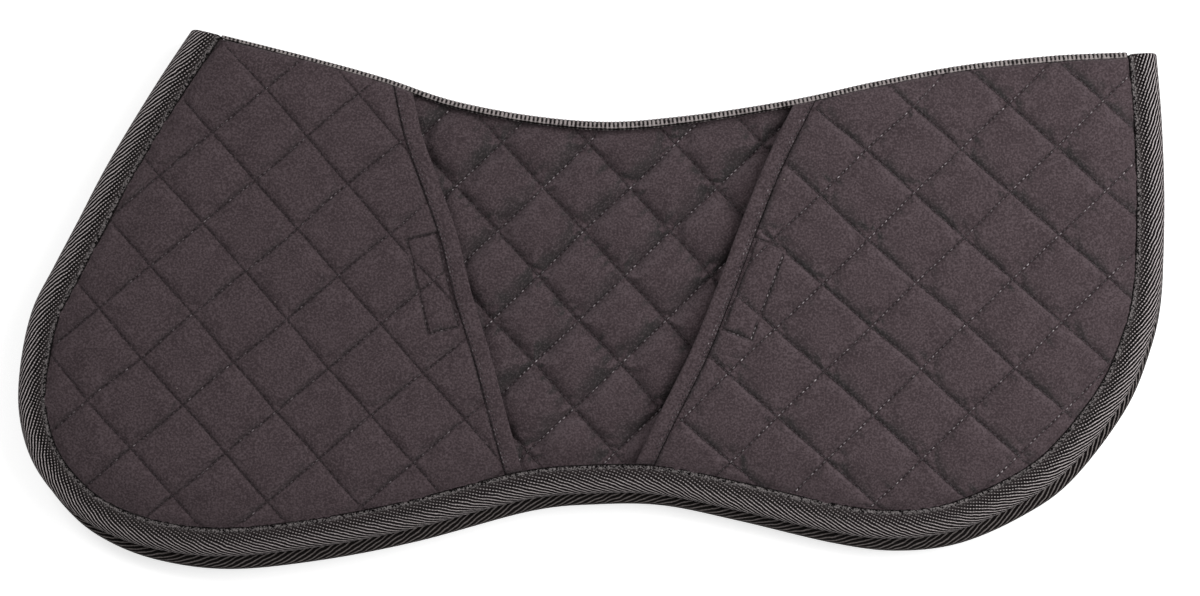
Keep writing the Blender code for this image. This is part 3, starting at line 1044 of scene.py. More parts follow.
@dataclass
class QuiltedPanel(Cloth):
    """Cloth that is quilted to its wadding in diamonds."""

    half: HalfShape
    quilt: Quilt
    relief: Relief
    finish: "Finish"
    thread: "Finish"
    stitch: Stitch = Stitch()
    raised: float = 0.35
    stations: Sizes = (
        0.0, 0.0005, 0.0011, 0.0018, 0.0028, 0.0042, 0.0062, 0.0088, 0.0118, 0.0150,
    )
    rings: Sizes = (0.0006, 0.0013, 0.0022, 0.0034, 0.0050, 0.0072)
    ring_step: float = 0.0024
    clearance: float = 0.0004
    slope_step: float = 0.0004
    nudge: float = 0.01
    # The way in degrees along which falling slopes get painted shade, the slope that gets it in full, and how
    # near the seam the cloth gets painted highlight
    shade_angle: float = -41.0
    steep: float = 0.5
    highlight_rim: float = 0.0

    def __post_init__(self) -> None:
        """Lay the quilting on the half."""
        self.lattice = self.half.lattice(self.quilt)

    def top(self, points: Points) -> Points:
        """Give the outer face's height."""
        raise NotImplementedError

    def quilted(self, points: Points) -> Points:
        """Give how high the quilted cloth swells above its stitches."""
        return self.relief.swell(self.lattice, points, CENTRE_SEED)

    def stitching(self, points: Points, others: list[tuple[Points, float]]) -> Values:
        """Give what the cloth's finish reads at each point.

        Args:
            points: the points.
            others: the lines of stitches that aren't quilting, and the share that scales the distance to each,
                below 1 for a wider painted shade beside it.

        Returns:
            How far each point is from the nearest line of stitches, how far along that line it is, and how far
            the slope there faces away from the light, from -1 where it faces the light, for painted highlight,
            to 1, for painted shade.
        """
        s, t = self.lattice.shares(points)
        beside_falling, beside_rising = self.lattice.distances(points)
        falling = beside_falling < beside_rising
        away = np.minimum(beside_falling, beside_rising)
        along = np.where(falling, t * self.quilt.falling_side, s * self.quilt.rising_side)
        for line, narrow in others:
            beside, passed = nearest(line, points)
            beside = np.abs(beside) * narrow
            nearer = beside < away
            away, along = np.where(nearer, beside, away), np.where(nearer, passed, along)
        # Painted shade on slopes that fall along one fixed way, painted highlight on those that rise along it
        shading = math.radians(self.shade_angle)
        step = self.slope_step * np.array([math.cos(shading), math.sin(shading)])
        drop = (self.quilted(points - step) - self.quilted(points + step)) / (2 * self.slope_step)
        away_from_light = np.clip(drop / self.steep, -1.0, 1.0)
        # Along the seam the cloth gets full painted highlight
        away_from_light = np.where(left_of(self.half.seam, points) < self.highlight_rim, -1.0, away_from_light)
        return {"stitching": np.stack([away, along, away_from_light], axis=1)}

    def quilting(self, outline: Points, clear: float) -> tuple[Points, Points]:
        """Mark the stitches of the quilting.

        Args:
            outline: the shape that they fill.
            clear: how far they stay away from its rim.

        Returns:
            The marks and their directions, seen flat.
        """
        across, down = self.lattice.spans(outline)
        quilt, pitch = self.quilt, self.stitch.pitch
        places, nudges = [], []
        for lines, crossed, side, turned in (
            (across, down, quilt.falling_side, 1), (down, across, quilt.rising_side, -1)
        ):
            first, last = (np.round(end * side / pitch) for end in (crossed[0], crossed[-1]))
            passed = (np.arange(first, last) + 0.5) * pitch / side
            pairs = np.stack(np.meshgrid(np.array(lines, float), passed), axis=-1).reshape(-1, 2)
            places.append(pairs[:, ::turned])
            nudges.append(np.tile([0.0, self.nudge], (len(pairs), 1))[:, ::turned])
        shares = np.vstack(places)
        marks = self.lattice.place(*shares.T)
        ways = unit(self.lattice.place(*(shares + np.vstack(nudges)).T) - marks)
        kept = inside(outline, marks) & (left_of(closed_line(outline), marks) > clear)
        return marks[kept], ways[kept]

    def sew_marks(self, name: str, marks: list[tuple[Points, Points]]) -> Piece:
        """Sew lines of stitches on the panel's outer face.

        Args:
            name: the name of the piece that they become.
            marks: for each line or group, the places and directions of its stitches.

        Returns:
            The piece.
        """
        points, ways = (np.vstack(part) for part in zip(*marks))
        steps = np.eye(2) * self.slope_step
        rises = [self.top(points + step) - self.top(points - step) for step in steps]
        slope = np.stack(rises, axis=1) / (2 * self.slope_step)
        side = self.half.side.value
        ups = unit(np.column_stack([-slope, np.full(len(points), side)]))
        rising = side * np.sum(slope * ways, axis=1)
        places = self.half.lifted(points, self.top(points) + self.stitch.thickness * self.raised)
        return self.sew(name, places, np.column_stack([ways, rising]), ups)


@dataclass
class PocketPanel(QuiltedPanel):
    """The quilted panel over a pocket, sewn down along the edge and the spine and open at its mouth.

    The front one has a short crease just above the binding.
    """

    end: End = End.FRONT
    rim_cloth: float = 0.0008
    ceiling: float = 0.0148
    headroom: float = 1.15
    rim_swell: float = 0.25
    inner_step: float = 0.007
    tab_points: int = 120
    tab_rows: Sizes = (-0.0016, -0.0007, 0.0, 0.0007, 0.0016)
    tab_groove: float = 0.0019
    tab_width: float = 0.0010
    tab_flat: float = 0.45
    tab_raised: float = 0.2
    # The tab's stitches count as this much nearer, which widens the painted shade beside them
    tab_shade_scale: float = 0.8
    tab_pitch: float = 0.9
    tucked: float = 0.0060
    sewn_in: tuple[float, float, float] = (BINDING_WIDTH + 0.0006, 0.002, 0.0012)
    sewn_clear: float = 0.0012
    # Within this distance of the seam the cloth gets full painted highlight
    highlight_rim: float = 0.0009
    crease: Pairs = ((0.377, 0.832), (0.378, 0.859))
    crease_depth: float = 0.0016
    crease_width: float = 0.0008

    def __post_init__(self) -> None:
        """Draw the panel's outline."""
        super().__post_init__()
        self.name = f"{self.half.name}_{self.end.value}"
        self.outline = closed_outline(self.half.pocket_lines(self.end, self.tucked, SEWN_GAP, SEWN_GAP))
        self.creased = self.half.places(self.crease)
        self.tab = Tab(self.half, self.end)

    def tab_rise(self, points: Points) -> tuple[Points, Points]:
        """Give 0 on the tab's stitches and 1 away from them, and 1 inside the tab and 0 outside it."""
        away = np.abs(left_of(self.tab.ring(), points))
        return np.tanh(away / self.tab_width), inside(self.tab.corners(), points).astype(float)

    def top(self, points: Points) -> Points:
        """Give the outer face's height.

        Args:
            points: where it is read.

        Returns:
            The height at each point.
        """
        share = risen(self.half, points)
        rim = POCKET_LAYER.foot + self.rim_cloth
        crown = POCKET_LAYER.top - rim - self.relief.full * self.headroom
        swell = self.quilted(points) * (self.rim_swell + (1 - self.rim_swell) * share)
        return np.minimum(rim + crown * share + swell, POCKET_LAYER.top)

    def quilted(self, points: Points) -> Points:
        """Give how high the cloth swells above its stitches, also beside the mouth and in the tab.

        Args:
            points: where it is read.

        Returns:
            The height at each point.
        """
        relief = self.relief
        beside_mouth = np.maximum(left_of(self.half.mouths[self.end], points), 0.0)
        shoulder = np.tanh(beside_mouth / relief.width)
        stitched, within = self.tab_rise(points)
        swell = relief.swell(self.lattice, points, POCKET_SEEDS[self.end])
        swell = swell * (1 - self.tab_flat * within) + relief.full * self.tab_raised * within
        if self.end is End.FRONT:
            from_crease = left_of(self.creased, points)
            swell = swell - self.crease_depth * np.exp(-((from_crease / self.crease_width) ** 2))
        return swell * shoulder - self.tab_groove * (1 - stitched)

    def foot(self, points: Points) -> Points:
        """Give the inner face's height."""
        return POCKET_LAYER.foot + (self.ceiling - POCKET_LAYER.foot) * risen(self.half, points)

    def values(self, points: Points) -> Values:
        """Give what the cloth's finish reads at each point."""
        lines = [(self.tab.ring(), self.tab_shade_scale), (self.half.mouths[self.end], 1.0)]
        return self.stitching(points, lines + [(self.creased, 1.0)] * (self.end is End.FRONT))

    def build(self) -> list[Piece]:
        """Make the panel and its stitches.

        Returns:
            The panel and the stitches.
        """
        tab = self.tab.ring()
        fill = np.vstack(
            [
                self.lattice.net(self.outline, self.stations),
                rim_rings(self.outline, self.rings, self.ring_step),
                *(spaced(moved_in(tab, row), self.tab_points) for row in self.tab_rows),
            ]
        )
        outer = triangulated(self.outline, fill, self.clearance)
        inner = triangulated(self.outline, even_fill(self.outline, self.inner_step), self.inner_step / 2)
        panel = closed_slab(
            f"{self.name}_pocket_cloth", self.half, outer, inner, self.top, self.foot, self.values
        )
        self.finish.dress(panel)
        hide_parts(f"{self.name}_pocket")
        self.bend(panel)
        sewn_shape = closed_outline(self.half.pocket_lines(self.end, *self.sewn_in))
        marks = [self.quilting(sewn_shape, self.sewn_clear)]
        sides = zip(tab[:-1], tab[1:])
        marks += [even_marks(np.array(side), self.stitch.pitch * self.tab_pitch) for side in sides]
        return [panel, self.sew_marks(f"{self.name}_quilting", marks)]


@dataclass
class CentrePanel(QuiltedPanel):
    """The base cloth of a half: quilted between the two mouths, and flat under the pockets."""

    crown: float = 0.0092
    headroom: float = 1.08
    rim_swell: float = 0.45
    rim_width: float = 0.012
    flat_top: float = 0.0080
    cloth: float = 0.0012
    flat_cloth: float = 0.0015
    blend: float = 0.010
    hidden_step: float = 0.009
    tucked: float = 0.0038
    under_hem: float = 0.012
    under_binding: float = 0.002
    sewn_under_hem: float = 0.004
    sewn_below_seam: float = 0.001
    sewn_clear: float = 0.0006
    streak: float = 0.00026
    streak_size: float = 0.0032
    streak_shape: tuple[float, float] = (1.0, 0.14)

    def __post_init__(self) -> None:
        """Draw the outlines of the cloth and of its quilted part."""
        super().__post_init__()
        self.name = self.half.name
        tucked = moved_in(self.half.edge, self.tucked)
        self.outline = closed_outline([tucked, moved_in(self.half.seam, SEWN_GAP)])
        under = (BINDING_WIDTH - self.under_binding, HEM_WIDTH - self.under_hem, SEWN_GAP)
        self.window = self.between_mouths(*under)

    def between_mouths(self, edge_in: float, mouth_in: float, seam_in: float) -> Points:
        """Draw the outline of the part between the two mouths.

        Args:
            edge_in: how far in from the pad's edge.
            mouth_in: how far in from the stitches along each mouth.
            seam_in: how far in from the seam along the spine.

        Returns:
            The outline's points.
        """
        edge, seam = moved_in(self.half.edge, edge_in), moved_in(self.half.seam, seam_in)
        rear, front = (moved_in(self.half.mouths[end][::-1], mouth_in) for end in (End.REAR, End.FRONT))
        return closed_outline([edge, rear, seam, front])

    def open_share(self, points: Points) -> Points:
        """Give 1 between the mouths and 0 under the pockets."""
        mouths = self.half.mouths.values()
        return np.minimum(*(eased(-left_of(mouth, points) / self.blend + 0.5) for mouth in mouths))

    def top(self, points: Points) -> Points:
        """Give the outer face's height.

        Args:
            points: where it is read.

        Returns:
            The height at each point.
        """
        beside_binding = left_of(self.half.edge, points) - BINDING_WIDTH
        from_rim = np.minimum(beside_binding, left_of(self.half.seam, points))
        free = self.rim_swell + (1 - self.rim_swell) * eased(from_rim / self.rim_width)
        streaks = soft_noise(points * np.array(self.streak_shape), self.streak_size, STREAK_SEED)
        swell = self.quilted(points) + streaks * self.streak
        quilted = np.minimum(self.crown, self.crown - self.relief.full * self.headroom + swell * free)
        return self.flat_top + (quilted - self.flat_top) * self.open_share(points)

    def foot(self, points: Points) -> Points:
        """Give the inner face's height."""
        return self.top(points) - self.cloth - self.flat_cloth * (1 - self.open_share(points))

    def values(self, points: Points) -> Values:
        """Give what the cloth's finish reads at each point."""
        return self.stitching(points, [])

    def build(self) -> list[Piece]:
        """Make the cloth and its stitches.

        Returns:
            The cloth and the stitches.
        """
        net = self.lattice.net(self.window, self.stations)
        coarse = even_fill(self.outline, self.hidden_step)
        rings = rim_rings(self.window, self.rings, self.ring_step)
        fill = np.vstack([net[inside(self.window, net)], rings, coarse[~inside(self.window, coarse)]])
        outer = self.shape = triangulated(self.outline, fill, self.clearance)
        cloth = closed_slab(
            f"{self.name}_base_cloth", self.half, outer, outer, self.top, self.foot, self.values
        )
        self.finish.dress(cloth)
        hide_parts(f"{self.name}_base_panel")
        self.bend(cloth)
        sewn_shape = self.between_mouths(BINDING_WIDTH, self.sewn_under_hem, self.sewn_below_seam)
        marks = [self.quilting(sewn_shape, self.sewn_clear)]
        return [cloth, self.sew_marks(f"{self.name}_centre_quilting", marks)]


@dataclass
class Wadding(Cloth):
    """The layer of fibre that fills the quilting of a half."""

    half: HalfShape
    centre: CentrePanel
    finish: "Finish"
    gap: float = 0.0003

    def build(self) -> Piece:
        """Make the layer, pressed down along the quilting above it.

        Returns:
            The piece.
        """
        shape = self.centre.shape
        layer = closed_slab(
            f"{self.half.name}_wadding_layer", self.half, shape, shape,
            lambda points: self.centre.foot(points) - self.gap,
            lambda points: np.full(len(points), WADDING_LAYER.foot + self.gap),
        )
        self.finish.dress(layer)
        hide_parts(f"{self.half.name}_wadding")
        return self.bend(layer)


@dataclass
class Lining(QuiltedPanel):
    """The plain cloth that lies on the horse."""

    stations: Sizes = (0.0, 0.0016, 0.0055, 0.0105, 0.0160)

    def top(self, points: Points) -> Points:
        """Give the height of the face under the wadding."""
        return np.full(len(points), LINING_LAYER.top)

    def foot(self, points: Points) -> Points:
        """Give the height of the face on the horse, dimpled along the quilting."""
        swell = self.relief.swell(self.lattice, points, LINING_SEED)
        return LINING_LAYER.foot + (self.relief.full - np.minimum(swell, self.relief.full))

    def build(self) -> Piece:
        """Make the lining.

        Returns:
            The piece.
        """
        inner = BINDING_WIDTH + SEWN_GAP
        outline = closed_outline([moved_in(self.half.edge, inner), moved_in(self.half.seam, SEWN_GAP)])
        shape = triangulated(outline, self.lattice.net(outline, self.stations), self.clearance)
        lining = closed_slab(f"{self.half.name}_lining_cloth", self.half, shape, shape, self.top, self.foot)
        self.finish.dress(lining)
        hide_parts(f"{self.half.name}_lining")
        return self.bend(lining)


@dataclass
class Hem(Cloth):
    """The folded hem along a pocket's mouth.

    Shares across it run from 0 at its stitches to 1 at its fold.
    """

    half: HalfShape
    end: End
    finish: "Finish"
    thread: "Finish"
    width: float = HEM_WIDTH
    cloth: float = 0.0020
    end_top: float = 0.0103
    step: float = 0.0013
    slit: float = 0.00006
    fold_points: int = 4
    across: Sizes = (0.0, 0.06, 0.12, 0.19, 0.27, 0.38, 0.52, 0.66, 0.78, 0.88, 0.95, 0.99, 1.0)
    grooves: Rows = ((0.0, 0.0011, 0.07), (0.22, 0.0005, 0.05))
    fold_start: float = 0.72
    fold_outer: float = 0.55
    fold_inner: float = 0.45
    uneven: float = 0.00022
    uneven_size: float = 0.007
    stitch: Stitch = Stitch(pitch=0.0026, length=0.0019, thickness=0.0009)
    rows: Sizes = (0.0007, 0.0021)
    raised: float = 0.0002
    slope_step: float = 0.0004

    def __post_init__(self) -> None:
        """Name the hem's pieces."""
        self.name = f"{self.half.name}_{self.end.value}"

    def line(self, out: float) -> Points:
        """Draw a line along the hem, cut off at the binding and at the spine.

        Args:
            out: how far from the stitches towards the fold.

        Returns:
            The line's points.
        """
        line = moved_in(self.half.mouths[self.end], -out)
        edge = moved_in(self.half.edge, BINDING_WIDTH + SEWN_GAP)
        seam = moved_in(self.half.seam, SEWN_GAP)
        before, after = (edge, seam) if self.end is End.FRONT else (seam, edge)
        start, end = kept_span(before, line, after)
        return read_at(line, np.append(np.arange(start, end, self.step / LINE_STEP), end))

    def profile(self, out: float) -> tuple[float, float]:
        """Give how far the hem's two faces lie below its full height.

        Args:
            out: the share of the way from the stitches to the fold.

        Returns:
            The outer face's depth and the inner face's.
        """
        groove = sum(deep * math.exp(-abs(out - at) / wide) for at, deep, wide in self.grooves)
        folded = max(0.0, (out - self.fold_start) / (1 - self.fold_start))
        fold = 1 - math.sqrt(max(0.0, 1 - folded**2))
        return groove + self.cloth * self.fold_outer * fold, self.cloth * (1 - self.fold_inner * fold)

    def full(self, points: Points) -> Points:
        """Give the hem's full height, which falls to where its ends are sewn down."""
        return self.end_top + (HEM_LAYER.top - self.end_top) * risen(self.half, points)

    def top(self, points: Points, out: float) -> Points:
        """Give the outer face's height at points on one line of the hem."""
        uneven = self.uneven * soft_noise(points, self.uneven_size, HEM_SEED) * math.sin(math.pi * out)
        return self.full(points) - self.profile(out)[0] + uneven

    def build(self) -> list[Piece]:
        """Make the hem and its stitches.

        Returns:
            The hem and the stitches.
        """
        count = len(self.line(0.0))
        lines = [spaced(self.line(out * self.width), count) for out in self.across]
        faces: list[list[Points]] = [[], [], [], []]
        for line, out in zip(lines, self.across):
            top = self.top(line, out)
            foot = self.full(line) - self.profile(out)[1]
            middle = (top + foot) / 2
            for face, height in zip(faces, (top, foot, middle - self.slit, middle + self.slit)):
                face.append(self.half.lifted(line, height))
        upper, lower, under, over = faces
        kept = len(self.across) - self.fold_points
        rows = np.stack(upper + lower[::-1] + under[:kept] + over[:kept][::-1], axis=1)
        slit = self.across[:kept]
        from_stitches = np.array(self.across + self.across[::-1] + slit + slit[::-1]) * self.width
        length = lengths_along(lines[0])
        away, along = np.tile(from_stitches, count), np.repeat(length, rows.shape[1])
        # How far from the stitches, for the painted shade along them and in their holes, with no painted slope
        # shade
        stitching = np.stack([away, along, np.zeros(len(away))], axis=1)
        flip = (self.end is End.FRONT) == (self.half.side is Side.NEAR)
        hem = swept_band(f"{self.name}_hem_fold", rows, flip, {"stitching": stitching})
        self.finish.dress(hem)
        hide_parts(f"{self.name}_hem")
        return [self.bend(hem), self.sew(f"{self.name}_hem_stitches", *map(np.vstack, zip(*self.marks())))]

    def marks(self) -> list[tuple[Points, Points, Points]]:
        """Mark the rows of stitches beside the fold's open side.

        Returns:
            For each row, its stitches' places, their directions and the way out of the cloth.
        """
        side = self.half.side.value
        found = []
        for row in self.rows:
            marks, way = even_marks(self.line(row), self.stitch.pitch)
            share, ahead = row / self.width, way * self.slope_step
            slope = (self.top(marks + ahead, share) - self.top(marks - ahead, share)) / (2 * self.slope_step)
            places = self.half.lifted(marks, self.top(marks, share) + self.raised)
            out = np.tile([0.0, 0.0, side], (len(marks), 1))
            found.append((places, np.column_stack([way, side * slope]), out))
        return found


@dataclass
class Binding(Cloth):
    """The twill tape folded round a half's front, bottom and rear edges.

    Its faces are drawn as how far in from the edge and how high each point lies.
    """

    half: HalfShape
    finish: "Finish"
    thread: "Finish"
    step: float = 0.0012
    cut_run: float = 0.025
    outer: Pairs = (
        (0.0160, 0.0102), (0.0157, 0.0105), (0.0150, 0.0106), (0.0133, 0.01045), (0.0125, 0.0106),
        (0.0100, 0.0108), (0.0070, 0.0107), (0.0045, 0.0102), (0.0025, 0.0092), (0.0010, 0.0076),
        (0.0002, 0.0056), (0.0003, 0.0034), (0.0013, 0.0015), (0.0032, 0.0004), (0.0060, 0.0002),
        (0.0110, 0.0002), (0.0160, 0.0002),
    )
    inner: Pairs = (
        (0.0160, 0.0014), (0.0110, 0.0014), (0.0060, 0.0014), (0.0036, 0.0016), (0.0022, 0.0026),
        (0.0015, 0.0040), (0.0014, 0.0056), (0.0021, 0.0070), (0.0034, 0.0082), (0.0052, 0.0089),
        (0.0080, 0.0094), (0.0125, 0.0094), (0.0160, 0.0094),
    )
    caps: Pairs = ((0.0001, 1.0), (0.0008, 0.97), (0.0014, 0.88), (0.0018, 0.72))
    middle: tuple[float, float] = (0.0080, 0.0052)
    hollow: float = 0.0003
    stitch: Stitch = Stitch(pitch=0.0024, length=0.0020, thickness=0.0005)
    stitch_in: float = 0.0140
    slant: float = 0.8
    raised: float = 0.15

    def line(self, inward: float) -> Points:
        """Draw a line along the binding, cut off along the spine at both ends.

        Args:
            inward: how far in from the edge.

        Returns:
            Its points, level with the same stations of the edge except near its ends.
        """
        edge, seam = self.half.edge, self.half.seam
        first, last = kept_span(seam, edge, seam)
        stations = np.linspace(first, last, round((last - first) * LINE_STEP / self.step))
        line = moved_in(edge, inward)
        start, end = kept_span(seam, line, seam)
        run = self.cut_run / LINE_STEP
        near_start = 1 - eased((stations - first) / run)
        near_end = 1 - eased((last - stations) / run)
        return read_at(line, stations + (start - first) * near_start + (end - last) * near_end)

    def capped(self, lines: Points, profile: Points) -> Points:
        """Give the rows that close the binding's start, where the tape is folded in over the layers.

        Args:
            lines: the binding's first two flat rows of points.
            profile: how far in and how high each of a row's points lies.

        Returns:
            The closing rows, the furthest one first.
        """
        share = np.linspace(0.0, 1.0, len(self.inner) + 2)[1:-1, None]
        first, last = np.array(self.outer[-1]), np.array(self.outer[0])
        closing = first + (last - first) * share
        closing[:, :1] -= self.hollow * np.sin(math.pi * share)
        plug = np.vstack([profile[: len(self.outer)], closing])
        order = np.argsort(profile[:, 0])
        outward = unit(np.mean(lines[0] - lines[1], axis=0))
        rows = []
        for far, scale in self.caps[::-1]:
            drawn = np.array(self.middle) + (plug - self.middle) * scale
            flat = sampled(lines[0][order], profile[order, 0], drawn[:, 0])
            rows.append(self.half.lifted(flat + outward * far, drawn[:, 1]))
        return np.stack(rows)

    def build(self) -> list[Piece]:
        """Make the binding and the stitches along its inner edge.

        Returns:
            The binding and the stitches.
        """
        profile = np.array(self.outer + self.inner)
        lines = [self.line(inward) for inward in profile[:, 0]]
        flat = np.stack(lines, axis=1)
        lifted = [self.half.lifted(line, high) for line, high in zip(lines, profile[:, 1])]
        ends = self.capped(flat[:2], profile), self.capped(flat[:-3:-1], profile)[::-1]
        rows = np.concatenate([ends[0], np.stack(lifted, axis=1), ends[1]])
        past = np.array([far for far, _ in self.caps])
        round_edge = lines[len(self.outer) // 2]
        along = lengths_along(round_edge)
        along = np.concatenate([-past[::-1], along, along[-1] + past])
        wide = lengths_along(np.array(self.outer))
        over = np.concatenate([wide, wide[-1] * np.linspace(1.0, 0.0, len(self.inner))])
        # How far the tape runs towards the spine, which sets how strong the painted light on its ribs is
        upright = np.pad(np.abs(unit(np.gradient(round_edge, axis=0))[:, 1]), len(past), "edge")
        along_it, upright_it = (np.repeat(values, len(profile)) for values in (along, upright))
        cloth = np.stack([along_it, np.tile(-over, len(along)), upright_it], axis=1)
        name = f"{self.half.name}_binding"
        binding = swept_band(f"{name}_tape", rows, self.half.side is Side.FAR, {"cloth": cloth})
        self.finish.dress(binding)
        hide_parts(name)
        return [self.bend(binding), self.sew(f"{name}_stitches", *self.marks())]

    def marks(self) -> tuple[Points, Points, Points]:
        """Mark the stitches, which slant to one side and the other in turn.

        Returns:
            Their places, their directions and the way out of the tape.
        """
        marks, ways = even_marks(self.line(self.stitch_in), self.stitch.pitch)
        turn = np.where(np.arange(len(ways)) % 2 == 0, 1.0, -1.0)[:, None] * self.slant
        slanted = ways + np.stack([-ways[:, 1], ways[:, 0]], axis=1) * turn
        inward, up = np.array(self.outer[: len(self.outer) // 2][::-1]).T
        high = np.interp(self.stitch_in, inward, up) + self.stitch.thickness * self.raised
        out = np.tile([0.0, 0.0, self.half.side.value], (len(marks), 1))
        return self.half.lifted(marks, high), np.column_stack([slanted, np.zeros(len(marks))]), out


@dataclass
class SpineTape:
    """The ribbed tape that is folded over the top edges of both halves and joins them.

    Its face is drawn as how far out from the seam and how high each point lies. A point stands out by its
    weight on a rib, and by its least share between two ribs; how deep it then lies also sets its painted shade.
    Shares along the tape run from its front end.
    """

    finish: "Finish"
    rib_pitch: float = 0.0023
    steps_per_rib: int = 6
    rib_depth: float = 0.00045
    cloth: float = 0.0011
    outer: Pairs = (
        (-0.0014, 0.0088), (-0.0015, 0.0096), (-0.0010, 0.0100), (-0.0005, 0.0104), (0.0001, 0.0106),
        (0.0008, 0.0105), (0.0015, 0.0102), (0.0023, 0.0096), (0.0031, 0.0082), (0.0038, 0.0060),
        (0.0041, 0.0032), (0.0042, 0.0),
    )
    # The third point has no rib and no least share: a painted shadow line along the tape's edge beside the
    # cloth
    weights: Sizes = (0.9, 0.9, 0.0, 0.8, 1.0, 1.0, 1.0, 1.0, 1.0, 1.0, 1.0, 1.0)
    least: Sizes = (0.5, 0.5, 0.0, 0.5, 0.75, 0.2, 0.0, 0.0, 0.15, 0.3, 0.3, 0.3)
    shown: Rows = (
        (0.0, 0.0, 0.0023), (0.115, -0.0010, 0.0021), (0.22, -0.0010, 0.0027), (0.295, -0.0010, 0.0034),
        (0.40, -0.0010, 0.0040), (0.49, -0.0010, 0.0041), (0.58, -0.0010, 0.0034), (0.67, -0.0010, 0.0030),
        (0.77, -0.0010, 0.0029), (0.93, -0.0010, 0.0037), (1.0, -0.0010, 0.0032),
    )
    centre: tuple[float, float] = (0.22, 0.64)
    centre_drop: float = 0.0026
    centre_ramp: float = 0.02

    def line(self) -> Points:
        """Draw the seam between the two bindings, from the front, with even steps on each rib.

        Returns:
            The line's points.
        """
        near = HALVES[Side.NEAR]
        side, seam = moved_in(near.edge, BINDING_WIDTH + SEWN_GAP), near.seam[::-1]
        line = read_at(seam, np.arange(*kept_span(side, seam, side)))
        return spaced(line, round(lengths_along(line)[-1] / self.rib_pitch) * self.steps_per_rib + 1)

    def section(self, profile: Points, passed: Points) -> tuple[Points, Points]:
        """Draw the tape's closed section at each point of its line.

        Args:
            profile: the section's outer face on the near half.
            passed: how far along the tape each point of the line is, as a share.

        Returns:
            The sections' points, and how deep each lies between two ribs, from 0 to 1, which the finish paints
            as shade; the inner faces get full painted shade.
        """
        normals = left_normals(profile)
        turns = np.arange(len(passed))[:, None] / self.steps_per_rib
        ribs = np.abs(np.sin(math.pi * turns)) * np.array(self.weights)
        sunk = 1 - np.maximum(ribs, np.array(self.least))
        top = profile - normals * (sunk * self.rib_depth)[..., None]
        inner = np.repeat((profile - normals * self.cloth)[None], len(passed), axis=0)
        mirror = np.array([1.0, -1.0])
        far, far_inner = top[:, -2::-1] * mirror, (inner * mirror)[:, :-1]
        ring = np.concatenate([top, far, far_inner, inner[:, ::-1]], axis=1)
        depth = np.ones(ring.shape[:2])
        depth[:, : 2 * len(profile) - 1] = np.concatenate([sunk, sunk[:, -2::-1]], axis=1)
        start, end = self.centre
        low = eased((passed - start) / self.centre_ramp) * eased((end - passed) / self.centre_ramp)
        far_lip = 2 * len(profile) - 2
        for lip, inner_lip, way in ((0, -1, 1), (far_lip, far_lip + 1, -1)):
            ring[:, (lip, inner_lip), 1] -= way * self.centre_drop * low[:, None]
            depth[:, inner_lip] = depth[:, lip]
        return ring, depth

    def build(self) -> Piece:
        """Make the tape: a comb of ribs over the edge that end in a light chain on its upper face.

        Returns:
            The piece.
        """
        line = self.line()
        passed = lengths_along(line) / lengths_along(line)[-1]
        profile = np.array(self.outer)
        ring, depth = self.section(profile, passed)
        share, start, end = np.array(self.shown).T
        low, high = np.interp(passed, share, start)[:, None], np.interp(passed, share, end)[:, None]
        reach = (ring[..., 0] - profile[0, 0]) / (profile[-1, 0] - profile[0, 0])
        places = line[:, None] + left_normals(line)[:, None] * (low + (high - low) * reach)[..., None]
        rows = np.concatenate([places, MIDDLE + ring[..., 1:]], axis=2)
        # The crease value is how deep each point lies, which the finish paints as shade
        tape = swept_band("spine_tape_ribbed", rows, False, {"crease": depth.ravel()})
        self.finish.dress(tape)
        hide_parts("spine_tape")
        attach(tape, "spine")
        return tape


@dataclass
class Shim(Cloth):
    """The foam pad in a pocket, which slides out through its mouth."""

    half: HalfShape
    end: End
    finish: "Finish"
    top_below_fold: float = 0.136
    pocket_fall: float = 0.023
    edge_play: float = 0.002
    tab_play: float = 0.004
    round: float = 0.0013
    rings: Sizes = (0.0002, 0.0005, 0.0009, 0.0013, 0.0020)
    ring_step: float = 0.004
    fill_step: float = 0.006
    clearance: float = 0.00015
    skin: float = 0.00005
    skin_size: float = 0.02
    room: float = 0.0010

    def outline(self) -> Points:
        """Draw the shim's outline: the pocket's, with a straight top.

        Returns:
            The outline's points.
        """
        place, down = fold_frame()
        along = np.array([-down[1], down[0]]) * PAD_LENGTH
        middle = place + down * self.top_below_fold
        level = np.stack([middle - along, middle + along])
        if along[0] > 0:
            level = level[::-1]
        edge_in = BINDING_WIDTH + self.pocket_fall + self.edge_play
        mouth_in = Tab.inset + Tab.width + self.tab_play
        lines = self.half.pocket_lines(self.end, edge_in, 0.0, mouth_in)
        lines[2 if self.end is End.FRONT else 1] = spaced(level, round(2 * PAD_LENGTH / LINE_STEP))
        return closed_outline(lines)

    def build(self) -> Piece:
        """Make the foam pad with its rounded rim.

        Returns:
            The piece.
        """
        outline = self.outline()
        fill = [rim_rings(outline, self.rings, self.ring_step), even_fill(outline, self.fill_step)]
        shape = triangulated(outline, np.vstack(fill), self.clearance)

        def drawn_in(points: Points) -> Points:
            """Give how far each face lies in: for the rounded rim, and for the waviness of cut foam."""
            from_rim = np.abs(left_of(closed_line(outline), points))
            share = np.clip(1 - from_rim / self.round, 0.0, 1.0)
            waves = self.skin * (1 + soft_noise(points, self.skin_size, FOAM_SEED))
            return self.round * (1 - np.sqrt(1 - share**2)) + waves

        name = f"{self.half.name}_{self.end.value}"
        shim = closed_slab(
            f"{name}_foam_shim", self.half, shape, shape,
            lambda points: SHIM_LAYER.top - self.room - drawn_in(points),
            lambda points: SHIM_LAYER.foot + drawn_in(points),
        )
        self.finish.dress(shim)
        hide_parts(f"{name}_shim")
        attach(shim, f"{name}_shim")
        return shim


class Face(Enum):
    """Which of the two patches of touch fastening a piece is."""

    HOOK = "hook"
    LOOP = "loop"


